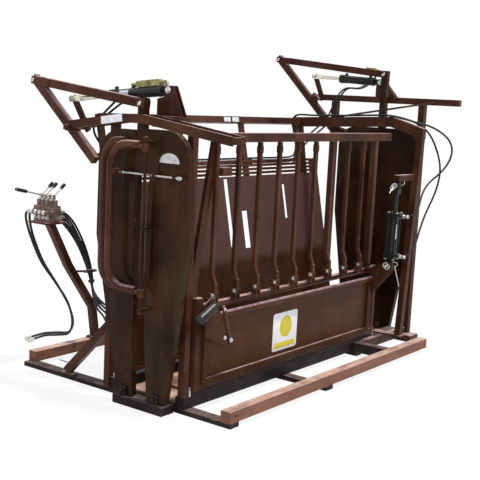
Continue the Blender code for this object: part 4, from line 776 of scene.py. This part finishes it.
class Fittings:
    """Small parts of one finish on one body, gathered in one mesh."""

    def __init__(self, name, material, body):
        self.name = name
        self.material = material
        self.body = body
        self.shape = bmesh.new()

    def add(self, part, place):
        join(self.shape, part, place)

    def bolt(self, centre, axis, across, height=0.008, roll=0.3):
        """A washer with a hexagon head on it."""
        seat = Vector(centre) + Vector(axis).normalized() * 0.0020
        self.add(washer(across * 0.78, 0.0022), aimed(centre, axis))
        self.add(hexagon(across, height), aimed(seat, axis, roll))

    def rod(self, start, end, radius, sides=14):
        reach = Vector(end) - Vector(start)
        edge = min(radius * 0.3, reach.length * 0.2)
        profile = [(0, 0), (radius - edge, 0), (radius, edge), (radius, reach.length - edge),
                   (radius - edge, reach.length), (0, reach.length)]
        self.add(turned(profile, sides), aimed(start, reach))

    def weld(self, start, end, radius=0.0032):
        reach = Vector(end) - Vector(start)
        self.add(weld_bead(reach.length, radius), aimed(start, reach))

    def done(self):
        return piece(self.name, self.shape, self.material, self.body)


# Fittings

def at(place, x):
    return Vector((x, place[0], place[1]))


def line_of_cylinder(places):
    """A gate cylinder's foot, its direction, the direction above it, and its length to the crank."""
    foot = Vector(places["cylinder_foot"])
    reach = Vector(places["crank"]) - foot
    push = reach.normalized()
    return foot, push, Vector((-push.y, push.x)), reach.length


def add_linkage_fittings(prefix, x0, places):
    layer = x0 + CYLINDER_OFFSET
    lever = Fittings(prefix + "_lever_bolts", BROWN, body_of(prefix + "_lever"))
    lever.bolt(at(places["pivot"], x0 - 0.0640), (-1, 0, 0), 0.026, 0.009)
    lever.done()
    long_link = Fittings(prefix + "_long_link_clips", ZINC, body_of(prefix + "_long_link"))
    for key in ("top", "arm_pin"):
        spot = at(places[key], x0 - 0.0350)
        long_link.add(washer(0.0100, 0.0020), aimed(spot, (-1, 0, 0)))
        long_link.add(wire_ring(0.0085, 0.0014, 1.5), aimed(spot + Vector((-0.0035, 0, 0)), (-1, 0, 0), 0.7))
    long_link.done()
    crank = Fittings(prefix + "_crank_clips", ZINC, body_of(prefix + "_cylinder_rod"))
    for side in (-1, 1):
        spot = at(places["crank"], layer + side * 0.0300)
        crank.add(washer(0.0105, 0.0020), aimed(spot, (side, 0, 0)))
        crank.add(wire_ring(0.0100, 0.0016, 1.4),
                  aimed(spot + Vector((side * 0.0038, 0, 0)), (side, 0, 0), 0.5))
    crank.done()
    foot, push, _, length = line_of_cylinder(places)
    bolts = Fittings(prefix + "_bracket_bolts", ZINC,
                     body_of("head_arch_frame" if prefix == "head" else "tail_top_tube"))
    for side in (-1, 1):
        bolts.bolt(at(places["cylinder_foot"], layer + side * 0.0262), (side, 0, 0), 0.024, 0.009)
    bolts.done()
    rings = Fittings(prefix + "_cylinder_rings", BLACK, body_of(prefix + "_cylinder_barrel"))
    profile = [(0.0270, -0.006), (0.0312, -0.005), (0.0322, 0), (0.0312, 0.005), (0.0270, 0.006)]
    for along in (0.075, length * TUBE_SHARE - 0.050):
        spot = foot + push * along
        rings.add(turned(profile, 28, closed=True), aimed(at(spot, layer), (0, push.x, push.y)))
    rings.done()


def add_head_gate_fittings():
    latch = Fittings("neck_latch_caps", ZINC, body_of("neck_latch_rod"))
    latch.rod((LATCH_X, 0.100, LATCH_Z), (LATCH_X, 0.1495, LATCH_Z), 0.0079)
    latch.rod((LATCH_X, -0.2925, LATCH_Z), (LATCH_X, -0.2985, LATCH_Z), 0.0085)
    latch.done()
    hinges = Fittings("neck_bar_bolts", BROWN, body_of("head_gate_near_half"))
    for level, turn in ((0.550, -1), (1.475, 1)):
        hinges.bolt((*NECK_PIN, level), (0, 0, turn), 0.020, 0.007)
    hinges.done()
    sill = Fittings("gate_hinge_bolts", SHADED_SILL_BROWN, body_of("head_gate_sill"))
    for pivot_y in GATE_PINS_Y:
        sill.bolt((HEAD_X - 0.0420, pivot_y, 0.075), (-1, 0, 0), 0.022, 0.008)
    sill.done()


def add_bar_fittings():
    pins = Fittings("bar_pin_bolts", ZINC, body_of("near_side_frame"))
    for index in range(BAR_COUNT):
        x = BAR_FIRST_X + BAR_PITCH * index
        for side in (-1, 1):
            pins.bolt((x + side * 0.0198, *BAR_PIN), (side, 0, 0), 0.0150, 0.0055, 0.2 * index)
        catch = Fittings("bar_catch_%d" % (index + 1), BROWN, body_of("drop_bar_%d" % (index + 1)))
        band = rounded_plate(0.0310, 0.0290, 0.050, 0.003)
        catch.add(band, aimed((x, -0.2752, BAR_TOP - 0.060), (0, 0, 1)))
        catch.add(washer(0.0062, 0.004), aimed((x - 0.004, -0.2890, BAR_TOP - 0.034), (0, -1, 0)))
        catch.done()
    pins.done()


def add_panel_fittings():
    body = body_of("drop_panel")
    arm = Fittings("panel_latch_arm", BROWN, body)
    start = Vector((-1.024, -0.3573, 0.586))
    end = Vector((-0.940, -0.3573, 0.364))
    arm.add(rounded_plate((end - start).length, 0.026, 0.0065, 0.006),
            laid((start + end) / 2, end - start, (end - start).cross(Vector((0, 1, 0)))))
    arm.done()
    bolts = Fittings("panel_latch_bolts", ZINC, body)
    bolts.bolt((-0.948, -0.3640, 0.385), (0, -1, 0), 0.017, 0.006)
    bolts.bolt((-0.995, -0.3572, 0.405), (0, -1, 0), 0.015, 0.005)
    bolts.bolt((-1.017, -0.3640, 0.569), (0, -1, 0), 0.013, 0.005)
    bolts.done()
    grip = Fittings("panel_grip_ends", BLACK, body_of("panel_latch_handle"))
    first = Vector((-1.254, -0.387, 0.548))
    last = Vector((-1.134, -0.387, 0.604))
    for spot, axis in ((first, first - last), (last, last - first)):
        way = axis.normalized()
        profile = [(0, 0), (0.0285, 0), (0.0300, 0.003), (0.0285, 0.006), (0.018, 0.010), (0, 0.011)]
        grip.add(turned(profile, 24), aimed(spot - way * 0.004, way))
    grip.done()


def add_squeeze_fittings():
    top = Vector((SQUEEZE_X, *SQUEEZE_TOP))
    low = Vector((SQUEEZE_X, *SQUEEZE_LOW))
    down = (low - top).normalized()
    hang = (-0.55, -0.80, 0.10)
    upper = Fittings("upper_hitch_clips", ZINC, body_of("rear_hoop"))
    upper.rod(top + Vector((-0.0470, 0, 0)), top + Vector((0.0430, 0, 0)), 0.0062)
    for spot, radius, turn in (((-0.0560, -0.006, -0.004), 0.0150, 0.4),
                               ((0.0490, -0.006, 0.012), 0.0165, 0.2),
                               ((-0.0860, -0.008, -0.018), 0.0130, 1.0)):
        upper.add(wire_ring(radius, 0.0021, 1.25), aimed(top + Vector(spot), hang, turn))
    upper.rod(top + Vector((-0.070, -0.007, -0.010)), top + Vector((-0.120, -0.009, -0.052)), 0.0018, 8)
    upper.done()
    lower = Fittings("lower_hitch_clips", ZINC, body_of("near_side_frame"))
    lower.rod(low + Vector((-0.0420, 0, 0)), low + Vector((0.0440, 0, 0)), 0.0062)
    for spot, radius, turn in (((-0.0540, -0.006, 0.004), 0.0150, 0.3),
                               ((0.0560, -0.006, 0.010), 0.0150, 0.0),
                               ((-0.0880, -0.008, 0.022), 0.0140, 0.8)):
        lower.add(wire_ring(radius, 0.0021, 1.25), aimed(low + Vector(spot), hang, turn))
    lower.rod(low + Vector((0.046, -0.010, -0.004)), low + Vector((0.120, -0.014, -0.150)), 0.0040, 10)
    lower.done()
    nuts = Fittings("tie_rod_nuts", ZINC, body_of("squeeze_cylinder_barrel"))
    for dx in (-TIE_ROD_REACH, TIE_ROD_REACH):
        for dy in (-TIE_ROD_REACH, TIE_ROD_REACH):
            for along, way in zip(SQUEEZE_TUBE, (-down, down)):
                nuts.add(hexagon(0.0170, 0.0075), aimed(top + down * along + Vector((dx, dy, 0)), way))
    nuts.done()
    band = Fittings("squeeze_cylinder_label", WHITE_VINYL, body_of("squeeze_cylinder_barrel"))
    band.add(rounded_plate(0.016, 0.100, 0.0008, 0.003),
             laid(top + down * 0.315 + Vector((-0.0190, -0.0272, 0)), (0.82, -0.57, 0), (0, 0, 1)))
    band.done()


def add_bank_fittings():
    bank = Fittings("valve_bank_plugs", ZINC, body_of("valve_bank"))
    for index in range(4):
        middle = BANK_FIRST_Y + (index + 0.5) * BANK_SECTION
        bank.add(hexagon(0.0230, 0.009), aimed((-1.165, middle, 0.960), (-1, 0, 0), 0.4 * index))
        bank.bolt((-1.1352, middle, 0.925), (-1, 0, 0), 0.0150, 0.007, 0.3 * index)
        bank.add(hexagon(0.0160, 0.008), aimed((-1.110, middle, 1.0300), (0, 0, 1), 0.2 * index))
    for y, turn in ((BANK_FIRST_Y - 0.012, -1), (BANK_FIRST_Y + 4 * BANK_SECTION + 0.012, 1)):
        bank.add(hexagon(0.0160, 0.008), aimed((-1.118, y, 0.968), (0, turn, 0)))
        bank.add(hexagon(0.0160, 0.008), aimed((-1.062, y, 0.918), (0, turn, 0)))
    bank.done()
    for index in range(4):
        middle = BANK_FIRST_Y + (index + 0.5) * BANK_SECTION
        pivot = Vector((LEVER_PIVOT[0], middle, LEVER_PIVOT[1]))
        tip = pivot + (Vector((-0.255, 0, 0.055)) if index == 1 else Vector((0.085, 0, 0.070)))
        way = (tip - pivot).normalized()
        start = pivot.lerp(tip, 0.70)
        length = (tip - start).length + 0.0065
        grip = Fittings("lever_grip_%d" % (index + 1), BLACK, body_of("valve_lever_%d" % (index + 1)))
        profile = [(0, -0.001), (0.0085, -0.001), (0.0106, 0.003), (0.0112, length * 0.5),
                   (0.0108, length - 0.003), (0.0080, length), (0, length + 0.0004)]
        grip.add(turned(profile, 20), aimed(start, way))
        grip.done()


def add_hose_ends():
    stand = Fittings("stand_hose_ends", ZINC, body_of("stand_hoses"))
    for row in range(2):
        for column in range(3):
            port = Vector(BANK_PORT) + Vector((-0.006, (column - 1) * BANK_PORT_PITCH[0],
                                               row * BANK_PORT_PITCH[1]))
            stand.add(crimped_end(HOSE_RADIUS, 0.040), aimed(port, (1, 0, 0), 0.3 * column))
            x = BULKHEAD_X + BULKHEAD_PITCH * (2 * column + row)
            wall = far_place @ Vector((x, 0.0480, 0.250 + (row - 0.5) * 0.0150))
            stand.add(crimped_end(HOSE_RADIUS, 0.045),
                      aimed(wall, far_place.to_3x3() @ Vector((0, 1, 0.03))))
    stand.done()
    up = far_place.to_3x3() @ Vector((0, 0, 1))
    for name, numbers in (("head", (0, 1)), ("squeeze", (2, 3)), ("tail", (4, 5))):
        ends = Fittings(name + "_hose_ends", ZINC, body_of(name + "_hoses"))
        for number in numbers:
            foot = far_place @ Vector((BULKHEAD_X + BULKHEAD_PITCH * number, 0.0370, 0.300))
            ends.add(crimped_end(HOSE_RADIUS, 0.045), aimed(foot, up))
        if name == "squeeze":
            top = Vector((SQUEEZE_X, *SQUEEZE_TOP))
            down = (Vector((SQUEEZE_X, *SQUEEZE_LOW)) - top).normalized()
            for along in SQUEEZE_PORTS:
                port = top + down * along + Vector((0, -0.060, 0))
                ends.add(crimped_end(HOSE_RADIUS, 0.044), aimed(port, (0, -1, 0)))
        else:
            places, valve, x0 = ((HEAD_PLACES, HEAD_VALVE, HEAD_X) if name == "head"
                                 else (TAIL_PLACES, TAIL_VALVE, TAIL_X))
            foot, push, rise, _ = line_of_cylinder(places)
            for along in (valve[0] + 0.018, valve[1] - 0.018):
                spot = foot + rise * valve[2] + push * along
                port = at(spot, x0 + CYLINDER_OFFSET + 0.036)
                ends.add(crimped_end(HOSE_RADIUS, 0.042), aimed(port, (1, 0, 0)))
        ends.done()
    supply = Fittings("supply_hose_ends", ZINC, body_of("valve_bank"))
    for x in SUPPLY_PORTS_X:
        supply.add(crimped_end(HOSE_RADIUS, 0.046), aimed((x, 1.1060, 0.945), (0, 1, 0)))
    supply.done()


def add_plates():
    arch = Fittings("arch_blank_plate", WHITE_VINYL, body_of("head_arch_frame"))
    arch.add(rounded_plate(0.158, 0.041, 0.0009, 0.003),
             laid((-1.3449, 0.2090, 1.5600), (0, -1, 0.149), (0, 0.149, 1)))
    arch.done()
    round_plate = Fittings("gate_blank_plate", PALE_PLATE, body_of("head_gate_near_half"))
    round_plate.add(half_disc(0.138, 0.052, 0.0012),
                    laid((-1.3099, -0.1840, 1.352), (0, -1, 0), (0, 0, 1)))
    round_plate.done()
    rail = Fittings("rail_blank_plates", WHITE_VINYL, body_of("far_side_frame"))
    for middle in (0.020, 0.110):
        spot = far_place @ Vector((middle, -0.0118, 1.458))
        rail.add(rounded_plate(0.072, 0.030, 0.0008, 0.003),
                 laid(spot, (1, 0, 0), far_place.to_3x3() @ Vector((0, 0, 1))))
    rail.done()
    body = body_of("drop_panel")
    white = Fittings("panel_blank_plate", WHITE_VINYL, body)
    white.add(rounded_plate(0.257, 0.233, 0.0007, 0.016),
              laid((-0.3185, -0.2949, 0.3225), (1, 0, 0), (0, 0, 1)))
    white.done()
    yellow = Fittings("panel_plain_patches", YELLOW_VINYL, body)
    yellow.add(washer(0.066, 0.0005), aimed((-0.3120, -0.2955, 0.3480), (0, -1, 0)))
    yellow.add(rounded_plate(0.214, 0.034, 0.0005, 0.004),
               laid((-0.3185, -0.2955, 0.2380), (1, 0, 0), (0, 0, 1)))
    yellow.done()
    layer = HEAD_X + CYLINDER_OFFSET
    foot, push, _, length = line_of_cylinder(HEAD_PLACES)
    spot = at(foot + push * (length * TUBE_SHARE - 0.120), layer)
    wrap = bmesh.new()
    for radius, height in ((0.0288, -0.034), (0.0288, 0.034), (0.0294, 0.034), (0.0294, -0.034)):
        wrap.verts.new((radius, 0, height))
    edge = wrap.faces.new(wrap.verts[:])
    bmesh.ops.spin(wrap, geom=[edge], cent=(0, 0, 0), axis=(0, 0, 1), dvec=(0, 0, 0), angle=math.radians(110),
                   steps=14, use_merge=False, use_duplicate=False)
    bmesh.ops.remove_doubles(wrap, verts=wrap.verts, dist=0.00001)
    bmesh.ops.recalc_face_normals(wrap, faces=wrap.faces)
    label = Fittings("head_cylinder_label", WHITE_VINYL, body_of("head_cylinder_barrel"))
    along = Vector((0, push.x, push.y))
    side = Vector((-1, 0, 0))
    turn = Matrix((side, along.cross(side), along)).transposed().to_4x4()
    label.add(wrap, Matrix.Translation(spot) @ turn @ Matrix.Rotation(math.radians(-70), 4, "Z"))
    label.done()


def add_welds():
    stile = Fittings("near_side_welds", BROWN, body_of("near_side_frame"))
    for start, end in (((0.655, -0.292, 0.593), (0.690, -0.292, 0.593)),
                       ((0.655, -0.292, 1.465), (0.690, -0.292, 1.465)),
                       ((SQUEEZE_X - 0.0190, -0.286, 0.560), (SQUEEZE_X - 0.0190, -0.286, 0.430)),
                       ((SQUEEZE_X + 0.0190, -0.286, 0.560), (SQUEEZE_X + 0.0190, -0.286, 0.430))):
        stile.weld(start, end)
    for index in range(BAR_COUNT):
        x = BAR_FIRST_X + BAR_PITCH * index
        for side in (-1, 1):
            stile.weld((x + side * 0.0200, -0.3135, 0.5935), (x + side * 0.0200, -0.2770, 0.5935), 0.0024)
    stile.done()
    arch = Fittings("head_arch_welds", BROWN, body_of("head_arch_frame"))
    front = HEAD_X + 0.053
    for start, end in (((front, -0.190, 1.5880), (front, 0.005, 1.5880)),
                       ((HEAD_X - 0.0555, -0.6125, 1.4765), (HEAD_X - 0.0555, -0.6125, 1.5100)),
                       ((front, 0.575, 0.1085), (front, 0.690, 0.1085))):
        arch.weld(start, end)
    arch.done()
    post = Fittings("stand_post_welds", BROWN, body_of("valve_stand_post"))
    foot_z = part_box("valve_stand_post")[0][2] + 0.011
    for y in (0.969, 1.015):
        post.weld((-0.700, y, foot_z), (-0.630, y, foot_z))
    post.done()
    bracket = Fittings("panel_bracket_welds", BROWN, body_of("drop_panel"))
    for x, low, high in ((-1.0945, 0.430, 0.520), (-0.9555, 0.362, 0.438)):
        bracket.weld((x, -0.2965, low), (x, -0.2965, high), 0.0026)
    bracket.done()


# The frame's pieces, each with its finish, the radius of its rounded edges and their segments
DRESSES = (
    (("near_skid", "far_skid", "floor_pan"), WEATHERED, 0.0035, 3),
    (("cross_members", "sill_rails", "head_gate_sill"), SHADED_SILL_BROWN, 0.003, 3),
    (("valve_stand_post", "head_arch_frame", "tail_gate_frame", "tail_top_tube", "rear_hoop",
      "near_side_frame", "far_side_frame", "head_lever", "head_long_link", "head_short_link",
      "tail_lever", "tail_long_link", "tail_short_link"), BROWN, 0.003, 3),
    (["drop_bar_%d" % (index + 1) for index in range(BAR_COUNT)], BROWN, 0.003, 3),
    (("head_gate_near_half", "head_gate_far_half", "tail_gate_near_half", "tail_gate_far_half"),
     SHADED_GATE_BROWN, 0.0015, 2),
    (("far_side_sheet",), SUNLIT_SHEET_BROWN, 0.0010, 2),
    (("drop_panel",), SHEET_BROWN, 0.0015, 2),
    (("far_neck_bar", "neck_bar"), BROWN, 0.0, 2),
    (("neck_latch_rod", "near_hinge_rod"), ZINC, 0.001, 2),
    (("head_lock_valve", "tail_lock_valve"), OLIVE, 0.001, 2),
    (["valve_lever_%d" % (index + 1) for index in range(4)], ZINC, 0.001, 2),
    (("head_cylinder_barrel", "tail_cylinder_barrel", "squeeze_cylinder_barrel",
      "squeeze_cylinder_rod", "panel_latch_handle"), BLACK, 0.0015, 2),
    (("head_cylinder_rod", "tail_cylinder_rod"), CHROME, 0.001, 2),
    (("valve_bank",), BANK_CAST, 0.0015, 2))


def main():
    set_camera()
    set_world()
    set_floor()
    set_lamps()
    for number, route in enumerate(SUPPLY_ROUTES, 1):
        supply_hose(number, route)
    for nodes, material, edge, segments in DRESSES:
        for node in nodes:
            dress(node, material, edge, segments)
    for node in ("stand_hoses", "head_hoses", "squeeze_hoses", "tail_hoses"):
        dress_hoses(node)
    add_linkage_fittings("head", HEAD_X, HEAD_PLACES)
    add_linkage_fittings("tail", TAIL_X, TAIL_PLACES)
    add_head_gate_fittings()
    add_bar_fittings()
    add_panel_fittings()
    add_squeeze_fittings()
    add_bank_fittings()
    add_hose_ends()
    add_plates()
    add_welds()


main()
